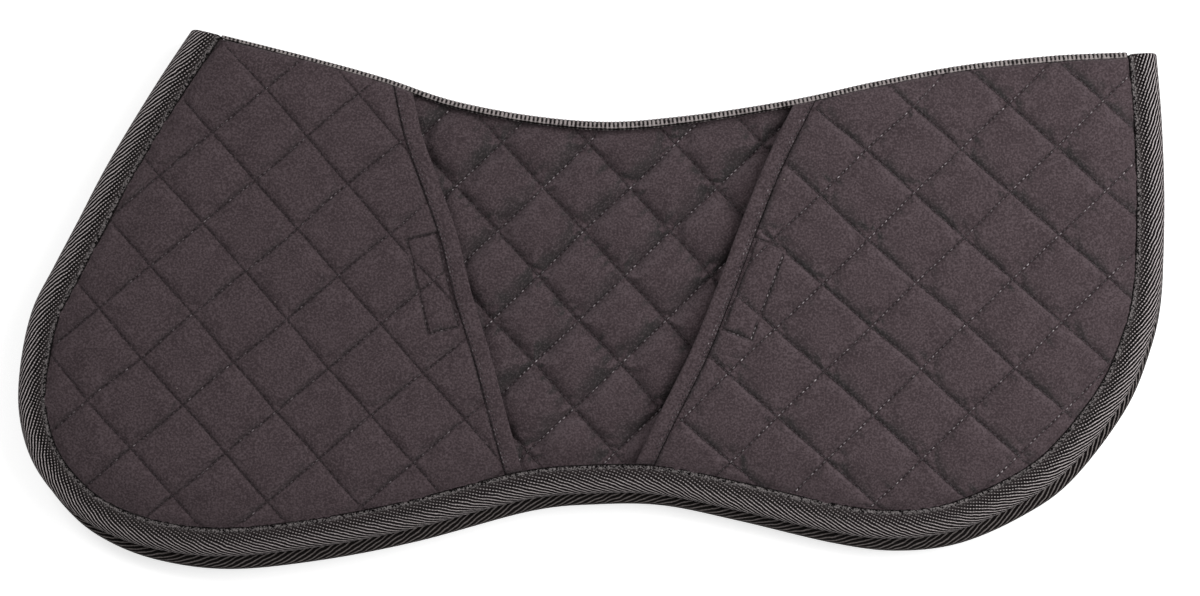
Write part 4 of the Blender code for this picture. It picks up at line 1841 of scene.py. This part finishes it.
@dataclass
class Fastener(Cloth):
    """A patch of touch fastening: hooks behind a pocket's mouth, or loops on the base cloth."""

    half: HalfShape
    end: End
    face: Face
    finish: "Finish"
    pile: float = 0.0016
    depth: float = 0.0003
    side_points: int = 12

    def build(self) -> Piece:
        """Make the patch with its pile.

        Returns:
            The piece.
        """
        hook = self.face is Face.HOOK
        low, high = (HOOK_LAYER.foot, HOOK_LAYER.top) if hook else (POCKET_LAYER.foot, LOOP_LAYER.top)
        corners = Tab(self.half, self.end).ring()
        sides = zip(corners[:-1], corners[1:])
        outline = np.vstack([spaced(np.array(side), self.side_points)[:-1] for side in sides])
        step = self.pile / 2
        shape = triangulated(outline, even_fill(outline, step), step / 2)
        along = unit(corners[1] - corners[0])
        axes = np.array([along, [-along[1], along[0]]])

        def bumps(points: Points) -> Points:
            """Give how far the cloth between the pile lies below its tips."""
            waves = np.cos(2 * math.pi * ((points - corners[0]) @ axes.T) / self.pile)
            return self.depth * (0.5 - 0.5 * waves[:, 0] * waves[:, 1])

        name = f"{self.half.name}_{self.end.value}_{self.face.value}"
        patch = closed_slab(
            f"{name}_patch", self.half, shape, shape,
            lambda points: np.full(len(points), high) - (0.0 if hook else bumps(points)),
            lambda points: np.full(len(points), low) + (bumps(points) if hook else 0.0),
        )
        self.finish.dress(patch)
        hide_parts(name)
        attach(patch, f"{self.half.name}_half")
        return patch


def linear(colour: str) -> tuple[float, float, float, float]:
    """Turn an sRGB colour of six hex digits into the linear one that a shader takes, with full opacity."""
    parts = (int(colour[i : i + 2], 16) / 255 for i in (0, 2, 4))
    return (*(c / 12.92 if c <= 0.04045 else ((c + 0.055) / 1.055) ** 2.4 for c in parts), 1.0)


Tree = bpy.types.ShaderNodeTree
Node = bpy.types.Node
Source = bpy.types.Node | bpy.types.NodeSocket
Span = tuple[float, float, float, float]

# The inputs of a Mix node that take its two colours, and the one of a Principled BSDF that takes its colour
FIRST_COLOUR, SECOND_COLOUR = 6, 7
PLAIN_COLOUR = 0

# How many finer layers a random pattern gets
PLAIN, MIXED, FINE = 1.0, 2.0, 3.0


def add_node(tree: Tree, kind: str, settings: dict[str | int, object]) -> Node:
    """Add a node to a material.

    Args:
        tree: the material's nodes.
        kind: the node's type, without the words that all types start with.
        settings: its properties, and what each input takes, by name or number: a value, a socket, or a node
            for its first output in use.

    Returns:
        The node.
    """
    node = tree.nodes.new("ShaderNode" + kind)
    for key, value in settings.items():
        if isinstance(value, Node):
            value = next(output for output in value.outputs if output.enabled)
        if isinstance(value, bpy.types.NodeSocket):
            tree.links.new(value, node.inputs[key])
        elif isinstance(key, str) and hasattr(node, key):
            setattr(node, key, value)
        else:
            node.inputs[key].default_value = value
    return node


def moved(source: Source, low: float, high: float, to_low: float, to_high: float) -> dict[str, object]:
    """Give the settings that move a source's values from one range into another and hold them there."""
    return {"Value": source, "From Min": low, "From Max": high, "To Min": to_low, "To Max": to_high}


def layered(tree: Tree, colour: str, coats: list[tuple[Source, str | Source]]) -> Node:
    """Lay colours over each other.

    Args:
        tree: the material's nodes.
        colour: the lowest colour, in hex.
        coats: for each further one, what gives its share, and the colour in hex or what gives it.

    Returns:
        The node that gives the mixed colour.
    """
    below = linear(colour)
    for share, coat in coats:
        above = linear(coat) if isinstance(coat, str) else coat
        both = {FIRST_COLOUR: below, SECOND_COLOUR: above}
        below = add_node(tree, "Mix", {"data_type": "RGBA", 0: share, **both})
    return below


@dataclass(frozen=True)
class Finish:
    """What a surface is made of, and how that surface was made.

    The cotton, polyester and nylon used here have an index of refraction of about 1.5.
    """

    name: str
    slot: str
    colour: str
    roughness: float
    sheen: float = 0.0
    gloss: float = field(default=0.25, kw_only=True)
    depth: float = field(default=0.0, kw_only=True)
    index: float = field(default=1.5, kw_only=True)
    sheen_roughness: float = field(default=0.5, kw_only=True)

    def material(self) -> bpy.types.Material:
        """Give the finish's material, made when it is first asked for.

        Returns:
            The material.
        """
        found = bpy.data.materials.get(self.name)
        if found:
            return found
        material = bpy.data.materials.new(self.name)
        material.use_nodes = True
        tree = material.node_tree
        tree.nodes.clear()
        colour, height = self.paint(tree)
        # The colour's socket also keeps the plain colour, for programs that don't read patterns
        surface = {
            PLAIN_COLOUR: linear(self.colour), "Base Color": colour, "Roughness": self.roughness,
            "IOR": self.index, "Specular IOR Level": self.gloss, "Sheen Weight": self.sheen,
            "Sheen Roughness": self.sheen_roughness,
        }
        if self.depth:
            bump = {"Strength": 1.0, "Distance": self.depth, "Height": height}
            surface["Normal"] = add_node(tree, "Bump", bump)
        add_node(tree, "OutputMaterial", {"Surface": add_node(tree, "BsdfPrincipled", surface)})
        return material

    def paint(self, tree: Tree) -> tuple[Node, Node]:
        """Add the finish's own pattern, and give the nodes of its colour and of its height from 0 to 1."""
        raise NotImplementedError

    def dress(self, obj: Piece) -> None:
        """Put the finish on a piece."""
        obj.data.materials.append(self.material())

    def uneven(self, tree: Tree, size: float, detail: float, span: Span | None = None) -> Node:
        """Give a random pattern that stays on the cloth as it bends.

        Args:
            tree: the material's nodes.
            size: the width of its patches, in metres.
            detail: how many finer layers it has.
            span: how its values are moved into another range.

        Returns:
            The node of the pattern, about 0 to 1 unless it is moved.
        """
        rest = add_node(tree, "Attribute", {"attribute_name": "rest"}).outputs["Vector"]
        noise = add_node(tree, "TexNoise", {"Scale": 1 / size, "Detail": detail, "Vector": rest})
        return add_node(tree, "MapRange", moved(noise, *span)) if span else noise


@dataclass(frozen=True)
class BrushedCotton(Finish):
    """Cotton twill whose face is brushed: matt and a little furry, with painted grey shade on slopes that face
    away from the light and painted highlight on those that face it.

    The twill's threads lie 0.4 mm apart and don't show under the brushed fibres. What shows is drawn at its
    real size: tufts of about 1 mm, painted slope shade whose strength changes every 18 mm, dye that clouds over
    12 mm, lint every 35 mm. Painted shade lies along the stitches and in the needle's holes, which follow the
    stitches' pitch. Each span moves a pattern's values into a colour's share.
    """

    # Colours: painted slope shade, painted shade along the stitches and in their holes, dark dye and tuft gaps,
    # pale tufts and painted highlight, lint
    slope_shade_colour: str = "2D2E2D"
    stitch_shade_colour: str = "160F11"
    dark_colour: str = "2B2225"
    pale_tuft_and_highlight_colour: str = "665A5E"
    lint_colour: str = "8C8480"
    tuft: float = 0.0011
    cloud: float = 0.012
    slope_shade_patch: float = 0.018
    hole_shade_patch: float = 0.0035
    lint_spacing: float = 0.035
    # Spans: painted slope shade and its patches, painted slope highlight, painted shade in the holes and along
    # the stitches, dye, tufts, lint
    slope_shade: Span = (0.08, 0.8, 0.0, 0.8)
    slope_shade_patches: Span = (0.35, 0.62, 0.35, 1.0)
    slope_highlight: Span = (-1.0, -0.15, 0.3, 0.0)
    shade_at_holes: Span = (-0.7, 0.9, 0.4, 0.85)
    hole_shade_patches: Span = (0.35, 0.6, 0.5, 1.0)
    near_stitches: Span = (0.0003, 0.0010, 1.0, 0.0)
    clouded: Span = (0.42, 0.66, 0.0, 0.25)
    between_tufts: Span = (0.36, 0.52, 0.55, 0.0)
    on_tufts: Span = (0.52, 0.68, 0.0, 0.45)
    lint: Span = (0.010, 0.014, 0.7, 0.0)

    def paint(self, tree: Tree) -> tuple[Node, Node]:
        """Add the brushed fibres, the painted shade and highlight on slopes, the painted shade along the
        stitches and in their holes, the uneven dye and the lint.

        Args:
            tree: the material's nodes.

        Returns:
            The nodes of the colour and of the height.
        """
        times = {"operation": "MULTIPLY"}
        tufts = self.uneven(tree, self.tuft, FINE)
        stitching = add_node(tree, "Attribute", {"attribute_name": "stitching"}).outputs["Vector"]
        away, along, away_from_light = add_node(tree, "SeparateXYZ", {"Vector": stitching}).outputs
        rest = add_node(tree, "Attribute", {"attribute_name": "rest"}).outputs["Vector"]
        dots = add_node(tree, "TexVoronoi", {"Scale": 1 / self.lint_spacing, "Vector": rest})
        turns = add_node(tree, "Math", {**times, 1: 2 * math.pi / Stitch.pitch, 0: along})
        holes = add_node(tree, "Math", {"operation": "COSINE", 0: turns})
        facing_away_share, facing_light_share, between, near, dark, furry, lint = (
            add_node(tree, "MapRange", moved(source, *span))
            for source, span in (
                (away_from_light, self.slope_shade), (away_from_light, self.slope_highlight), (holes, self.shade_at_holes),
                (away, self.near_stitches), (tufts, self.between_tufts), (tufts, self.on_tufts),
                (dots, self.lint),
            )
        )
        patches = self.uneven(tree, self.slope_shade_patch, PLAIN, self.slope_shade_patches)
        loose = self.uneven(tree, self.hole_shade_patch, PLAIN, self.hole_shade_patches)
        clouds = self.uneven(tree, self.cloud, MIXED, self.clouded)
        # Painted shade on slopes that face away from the light, and painted shade along the stitches and in
        # their holes
        shading = add_node(tree, "Math", {**times, 0: facing_away_share, 1: patches})
        pulled = add_node(tree, "Math", {**times, 0: between, 1: loose})
        stitched = add_node(tree, "Math", {**times, 0: near, 1: pulled})
        # Coats: painted highlight, painted slope shade, painted stitch shade, dye, tuft gaps, pale tufts, lint
        coats = [
            (facing_light_share, self.pale_tuft_and_highlight_colour), (shading, self.slope_shade_colour), (stitched, self.stitch_shade_colour),
            (clouds, self.dark_colour), (dark, self.dark_colour), (furry, self.pale_tuft_and_highlight_colour),
            (lint, self.lint_colour),
        ]
        return layered(tree, self.colour, coats), tufts


@dataclass(frozen=True)
class TwillTape(Finish):
    """Cotton twill tape: round ribs across it at a slant, broken into dots by the cross threads. Their light
    tops are a painted highlight and their black gaps painted shade, both painted weaker where the tape runs
    along the pad's length.

    Real ribs of such a tape lie about 1.45 mm apart. They are drawn a little coarser, so that they show. The
    tape's fold is worn smooth, and its selvedge at the inner edge shows flecks instead of ribs, with a painted
    shadow line right at that edge.
    """

    gap_shade_colour: str = "0B0909"
    lit_rib_colour: str = "CFC5C5"
    selvedge_colour: str = "7A7474"
    rib_slant: float = -24.0
    rib_pitch: float = 0.0017
    dot_pitch: float = 0.0017
    selvedge: float = 0.0027
    dotted: float = 0.85
    wander_size: float = 0.008
    wander: Span = (0.3, 0.7, -0.2, 0.2)
    fuzz_size: float = 0.0010
    fuzz: Span = (0.3, 0.7, -0.12, 0.12)
    ribbed: Span = (0.05, 1.0, 0.0, 1.0)
    least_dotted: float = 0.15
    dotted_between: tuple[float, float] = (4.0, 2.4)
    between_dots: Span = (-0.6, 1.0, 1.0, 0.0)
    lit: Span = (0.12, 0.90, 0.0, 1.0)
    flecks: Span = (0.42, 0.62, 0.0, 1.0)
    # How much flatter the painted light on the ribs is where the tape runs along the pad's length
    less_lit_by_direction: Span = (0.25, 0.9, 0.25, 0.0)
    worn: Span = (2.4, 1.1, 0.0, 0.6)
    flecked: Span = (1.15, 0.9, 0.0, 1.0)
    # A painted shadow line along the tape's inner edge
    under: Span = (-0.0011, -0.0006, 0.0, 0.9)

    def paint(self, tree: Tree) -> tuple[Node, Node]:
        """Add the ribs, their dots, the fuzz, the wear and the selvedge, with painted highlight on the ribs,
        painted shade in their gaps and a painted shadow line at the inner edge.

        Args:
            tree: the material's nodes.

        Returns:
            The nodes of the colour and of the height.
        """
        times, cosine = {"operation": "MULTIPLY"}, {"operation": "COSINE"}
        cloth = add_node(tree, "Attribute", {"attribute_name": "cloth"}).outputs["Vector"]
        turned = add_node(
            tree, "Mapping",
            {
                "vector_type": "TEXTURE", "Rotation": (0.0, 0.0, math.radians(self.rib_slant)),
                "Scale": (self.dot_pitch, self.rib_pitch, 1.0), "Vector": cloth,
            },
        )
        over, across, _ = add_node(tree, "SeparateXYZ", {"Vector": turned}).outputs
        _, inward, upright = add_node(tree, "SeparateXYZ", {"Vector": cloth}).outputs
        wander = self.uneven(tree, self.wander_size, MIXED, self.wander)
        wavy = add_node(tree, "Math", {"operation": "ADD", 0: across, 1: wander})
        ribs, dots = (
            add_node(tree, "Math", {**cosine, 0: add_node(tree, "Math", {**times, 1: 2 * math.pi, 0: place})})
            for place in (wavy, over)
        )
        noise = self.uneven(tree, self.fuzz_size, FINE)
        beside = -self.selvedge
        far, near = (beside * share for share in self.dotted_between)
        worn, flecked = (
            (beside * low, beside * high, *shares) for low, high, *shares in (self.worn, self.flecked)
        )
        rib, broken, between, flecks, less_lit_share, worn_share, edge, under, fuzz = (
            add_node(tree, "MapRange", moved(source, *span))
            for source, span in (
                (ribs, self.ribbed), (inward, (far, near, self.least_dotted, self.dotted)),
                (dots, self.between_dots), (noise, self.flecks), (upright, self.less_lit_by_direction), (inward, worn),
                (inward, flecked), (inward, self.under), (noise, self.fuzz),
            )
        )
        gaps = add_node(tree, "Math", {**times, 0: between, 1: broken})
        dot = add_node(tree, "Math", {"operation": "SUBTRACT", 0: 1.0, 1: gaps})
        woven = add_node(tree, "Math", {**times, 0: rib, 1: dot})
        height = add_node(tree, "Math", {"operation": "ADD", 0: woven, 1: fuzz})
        lit = add_node(tree, "MapRange", moved(height, *self.lit))
        selvedge = layered(tree, self.gap_shade_colour, [(flecks, self.selvedge_colour)])
        # Painted highlight on the ribs, painted light flattened by the tape's way, wear, selvedge, and the
        # painted shadow line at the inner edge
        coats = [
            (lit, self.lit_rib_colour), (less_lit_share, self.colour), (worn_share, self.colour), (edge, selvedge),
            (under, self.gap_shade_colour),
        ]
        return layered(tree, self.gap_shade_colour, coats), height


@dataclass(frozen=True)
class RibbedTape(Finish):
    """Grosgrain: light round ribs across a narrow tape, with painted shade in the gaps between them.

    The ribs themselves are in the mesh. Loose threads of about 2.6 mm and a fuzz of 0.6 mm lie over them.
    """

    gap_shade_colour: str = "141111"
    loose_size: float = 0.0026
    loose: Span = (0.3, 0.7, -0.2, 0.25)
    fuzz_size: float = 0.0006
    # How deep a point must lie to get full painted shade
    dark: Span = (0.10, 0.55, 0.0, 1.0)

    def paint(self, tree: Tree) -> tuple[Node, Node]:
        """Paint shade into the gaps that the mesh leaves between the ribs, as deep as each point lies.

        Args:
            tree: the material's nodes.

        Returns:
            The nodes of the colour and of the height.
        """
        crease = add_node(tree, "Attribute", {"attribute_name": "crease"}).outputs["Fac"]
        loose = self.uneven(tree, self.loose_size, MIXED, self.loose)
        deep = add_node(tree, "Math", {"operation": "ADD", 0: crease, 1: loose})
        dark = add_node(tree, "MapRange", moved(deep, *self.dark))
        return layered(tree, self.colour, [(dark, self.gap_shade_colour)]), self.uneven(tree, self.fuzz_size, MIXED)


@dataclass(frozen=True)
class SewingThread(Finish):
    """Twisted polyester thread: its light colour is a painted glint, taken off some stitches at random, and
    stitches that run along one fixed way get painted shade.

    One stitch or two look alike, so the pattern's patches are 4.2 mm wide.
    """

    # The thread's dark colour, also its painted shade; the spans take the painted glint off at random and paint
    # shade by the stitch's way
    sunk_colour: str = "231C1E"
    patch: float = 0.0042
    dull: Span = (0.45, 0.70, 0.9, 0.0)
    sunk: Span = (0.3, 0.9, 0.0, 0.92)

    def paint(self, tree: Tree) -> tuple[Node, Node]:
        """Paint shade on the stitches that run along the fixed way, and take the painted glint off others at
        random.

        Args:
            tree: the material's nodes.

        Returns:
            The nodes of the colour and of the height.
        """
        fibres = self.uneven(tree, self.patch, FINE)
        on_shade_way = add_node(tree, "Attribute", {"attribute_name": "sunk"}).outputs["Fac"]
        dull, sunk = (
            add_node(tree, "MapRange", moved(source, *span))
            for source, span in ((fibres, self.dull), (on_shade_way, self.sunk))
        )
        share = add_node(tree, "Math", {"operation": "MAXIMUM", 0: sunk, 1: dull})
        return layered(tree, self.colour, [(share, self.sunk_colour)]), fibres


@dataclass(frozen=True)
class FineGrain(Finish):
    """A surface whose fibres, pores or twist show as one fine grain, about as wide as the real one."""

    grain: float = 0.0010
    dark_colour: str = "1C1919"
    dark: Span = (0.35, 0.65, 0.5, 0.0)

    def paint(self, tree: Tree) -> tuple[Node, Node]:
        """Add the grain.

        Args:
            tree: the material's nodes.

        Returns:
            The nodes of the colour and of the height.
        """
        grain = self.uneven(tree, self.grain, FINE)
        dark = add_node(tree, "MapRange", moved(grain, *self.dark))
        return layered(tree, self.colour, [(dark, self.dark_colour)]), grain


# Brushed cotton twill: no gloss highlight, a faint sheen where the fur is seen from the side, painted shade and
# highlight on its slopes and painted shade along its stitches
CLOTH = BrushedCotton("cotton_twill_brushed", "quilted_cloth", "4B4043", 0.9, 0.08, gloss=0.12, depth=0.00035)

# Twisted polyester thread, the lit copy: smooth, with a painted glint lighter than the cloth on some stitches
LIT_THREAD = SewingThread("polyester_thread_lit", "quilted_cloth", "A9A0A3", 0.35)

# The same thread, the shaded copy: darker, with the painted glint on fewer stitches
SHADED_THREAD = SewingThread(
    "polyester_thread_sunk", "quilted_cloth", "8A8184", 0.5, gloss=0.12, dull=(0.50, 0.74, 0.9, 0.0)
)

# Woven cotton twill tape: matt ribs with painted highlight and black gaps of painted shade, grey flecks where
# it is worn
TWILL = TwillTape("cotton_tape_twill_woven", "twill_tape", "342F2F", 0.7, gloss=0.04, depth=0.0005)

# The same tape on the half below: in the other's shade, with duller ribs
UNDER_TWILL = TwillTape(
    "cotton_tape_twill_shaded", "twill_tape", "2E2A29", 0.7, gloss=0.04, depth=0.0005, lit_rib_colour="8C8482",
    rib_pitch=0.0021, dotted=0.3,
)

# Fine twisted polyester thread along the tape: small grey flecks with a soft shine
TAPE_THREAD = FineGrain("polyester_thread_tape", "twill_tape", "7A7474", 0.5, depth=0.0001, grain=0.0005)

# Woven cotton grosgrain: pale and matt, a chain of light beads beside painted shade
RIBBED = RibbedTape("cotton_tape_grosgrain_woven", "ribbed_tape", "9A9291", 0.8, gloss=0.08, depth=0.0002)

# Plain woven cotton: an even, dry surface with a fine weave of about 1 mm
LINING_CLOTH = FineGrain("cotton_plain_woven", "lining", "433B3C", 0.9, 0.1, depth=0.0002, grain=0.0010)

# Loose polyester fibre: off-white and downy, with curls of about 2 mm
FIBRE = FineGrain(
    "polyester_fibre_loose", "wadding", "D2D0CC", 1.0, 0.3, depth=0.0008, grain=0.0020, dark_colour="A8A6A2",
    dark=(0.35, 0.65, 0.6, 0.0),
)

# Cut polyethylene foam: grey and dull, with open cells of about 1.2 mm
FOAM = FineGrain(
    "polyethylene_foam_cut", "shim_foam", "626264", 0.85, depth=0.0003, grain=0.0012, dark_colour="4A4A4C",
    dark=(0.35, 0.65, 0.6, 0.0),
)

# Woven nylon hooks: stiff and dark, with small hard glints
HOOKS = FineGrain("nylon_hooks_woven", "hook_patch", "302E2E", 0.45, depth=0.0004, grain=0.0009)

# Brushed nylon loops: dark and fuzzy, with no glint
LOOPS = FineGrain("nylon_loops_brushed", "loop_patch", "353232", 0.95, 0.3, depth=0.0004, grain=0.0007)

# How each pocket is made: its quilting, its thread as the lit or the shaded copy, the way in degrees along
# which falling slopes get painted shade, and the slope that gets it in full
POCKETS = {
    End.FRONT: (FRONT_QUILT, SHADED_THREAD, -41.0, 1.6),
    End.REAR: (REAR_QUILT, LIT_THREAD, -139.0, 0.55),
}


@dataclass
class HalfPad:
    """One half of the pad, with everything sewn to it."""

    half: HalfShape

    def build(self) -> list[Piece]:
        """Make all the pieces of the half.

        Returns:
            The pieces.
        """
        half = self.half
        centre = CentrePanel(half, CENTRE_QUILT, CENTRE_RELIEF, CLOTH, LIT_THREAD)
        pieces = [
            Lining(half, CENTRE_QUILT, LINING_RELIEF, LINING_CLOTH, LIT_THREAD).build(),
            *centre.build(),
            Wadding(half, centre, FIBRE).build(),
            *Binding(half, TWILL if half.side is Side.NEAR else UNDER_TWILL, TAPE_THREAD).build(),
        ]
        for end, (quilt, thread, shading, steep) in POCKETS.items():
            panel = PocketPanel(
                half, quilt, POCKET_RELIEF, CLOTH, thread, end=end, shade_angle=shading, steep=steep
            )
            pieces += [*panel.build(), *Hem(half, end, CLOTH, SHADED_THREAD).build()]
            patches = (Fastener(half, end, Face.HOOK, HOOKS), Fastener(half, end, Face.LOOP, LOOPS))
            pieces += [piece.build() for piece in (Shim(half, end, FOAM), *patches)]
        return pieces


@dataclass
class Studio:
    """The floor, the light and the camera."""

    floor_size: float = 8.0
    floor_below: float = 0.0004
    paper_colour: str = "E6E6E6"
    paper_glow: float = 0.62
    sky_colour: str = "FFFFFF"
    camera_above: float = 2.4
    frame_width: float = 0.6475
    subject_height: float = 0.0284
    aim: tuple[float, float] = (0.0043, 0.0016)
    sensor: float = 36.0
    sky: float = 0.32
    lamps: Rows = ((-1.1, 1.3, 1.9, 15.5), (0.68, 0.20, 0.80, 9.0))
    lamp_size: float = 0.9

    def build(self) -> None:
        """Set up the floor, the light and the camera."""
        self.lay_floor()
        self.light()
        self.place_camera()

    def lay_floor(self) -> None:
        """Lay a plain paper floor that the camera sees as white, with the pad's shadow on it."""
        reach = self.floor_size / 2
        corners = np.array([[-reach, -reach], [reach, -reach], [reach, reach], [-reach, reach]])
        floor = make_piece("floor", np.column_stack([corners, np.full(4, -self.floor_below)]), [[0, 1, 2, 3]])
        material = bpy.data.materials.new("floor_paper_white")
        material.use_nodes = True
        tree = material.node_tree
        tree.nodes.clear()
        paper = add_node(tree, "BsdfDiffuse", {"Color": linear(self.paper_colour)})
        glow = add_node(tree, "Emission", {"Strength": self.paper_glow})
        both = add_node(tree, "AddShader", {0: paper, 1: glow})
        rays = add_node(tree, "LightPath", {}).outputs
        seen = rays["Is Camera Ray"]
        for ray in ("Is Glossy Ray", "Is Transmission Ray"):
            seen = add_node(tree, "Math", {"operation": "MAXIMUM", 0: seen, 1: rays[ray]})
        surface = add_node(tree, "MixShader", {0: seen, 1: paper, 2: both})
        add_node(tree, "OutputMaterial", {"Surface": surface})
        floor.data.materials.append(material)

    def light(self) -> None:
        """Light the pad from a pale sky and soft lamps at the top left and right."""
        world = bpy.data.worlds.new("studio_sky")
        world.use_nodes = True
        background = world.node_tree.nodes["Background"].inputs
        background["Color"].default_value = linear(self.sky_colour)
        background["Strength"].default_value = self.sky
        bpy.context.scene.world = world
        for x, y, z, power in self.lamps:
            data = bpy.data.lights.new("soft_lamp", "AREA")
            data.energy = power
            data.size = self.lamp_size
            lamp = bpy.data.objects.new("soft_lamp", data)
            lamp.location = (x, y, z)
            lamp.rotation_euler = (-lamp.location).to_track_quat("-Z", "Y").to_euler()
            bpy.context.scene.collection.objects.link(lamp)

    def place_camera(self) -> None:
        """Place the camera straight above the pad, with its spine at the top of the picture."""
        camera_data = bpy.data.cameras.new("camera")
        camera_data.sensor_width = self.sensor
        camera_data.lens = self.sensor * self.camera_above / self.frame_width
        camera = bpy.data.objects.new("camera", camera_data)
        camera.location = (*self.aim, self.subject_height + self.camera_above)
        bpy.context.scene.collection.objects.link(camera)
        bpy.context.scene.camera = camera


def main() -> None:
    """Build the pad and the studio."""
    logging.basicConfig(level=logging.INFO, format="%(message)s")
    Studio().build()
    bpy.context.scene.view_settings.view_transform = "Standard"
    pieces = [SpineTape(RIBBED).build()]
    for half in HALVES.values():
        pieces += HalfPad(half).build()
    for piece in pieces:
        log.info("%s: %d faces", piece.name, len(piece.data.polygons))


if __name__ == "__main__":
    main()
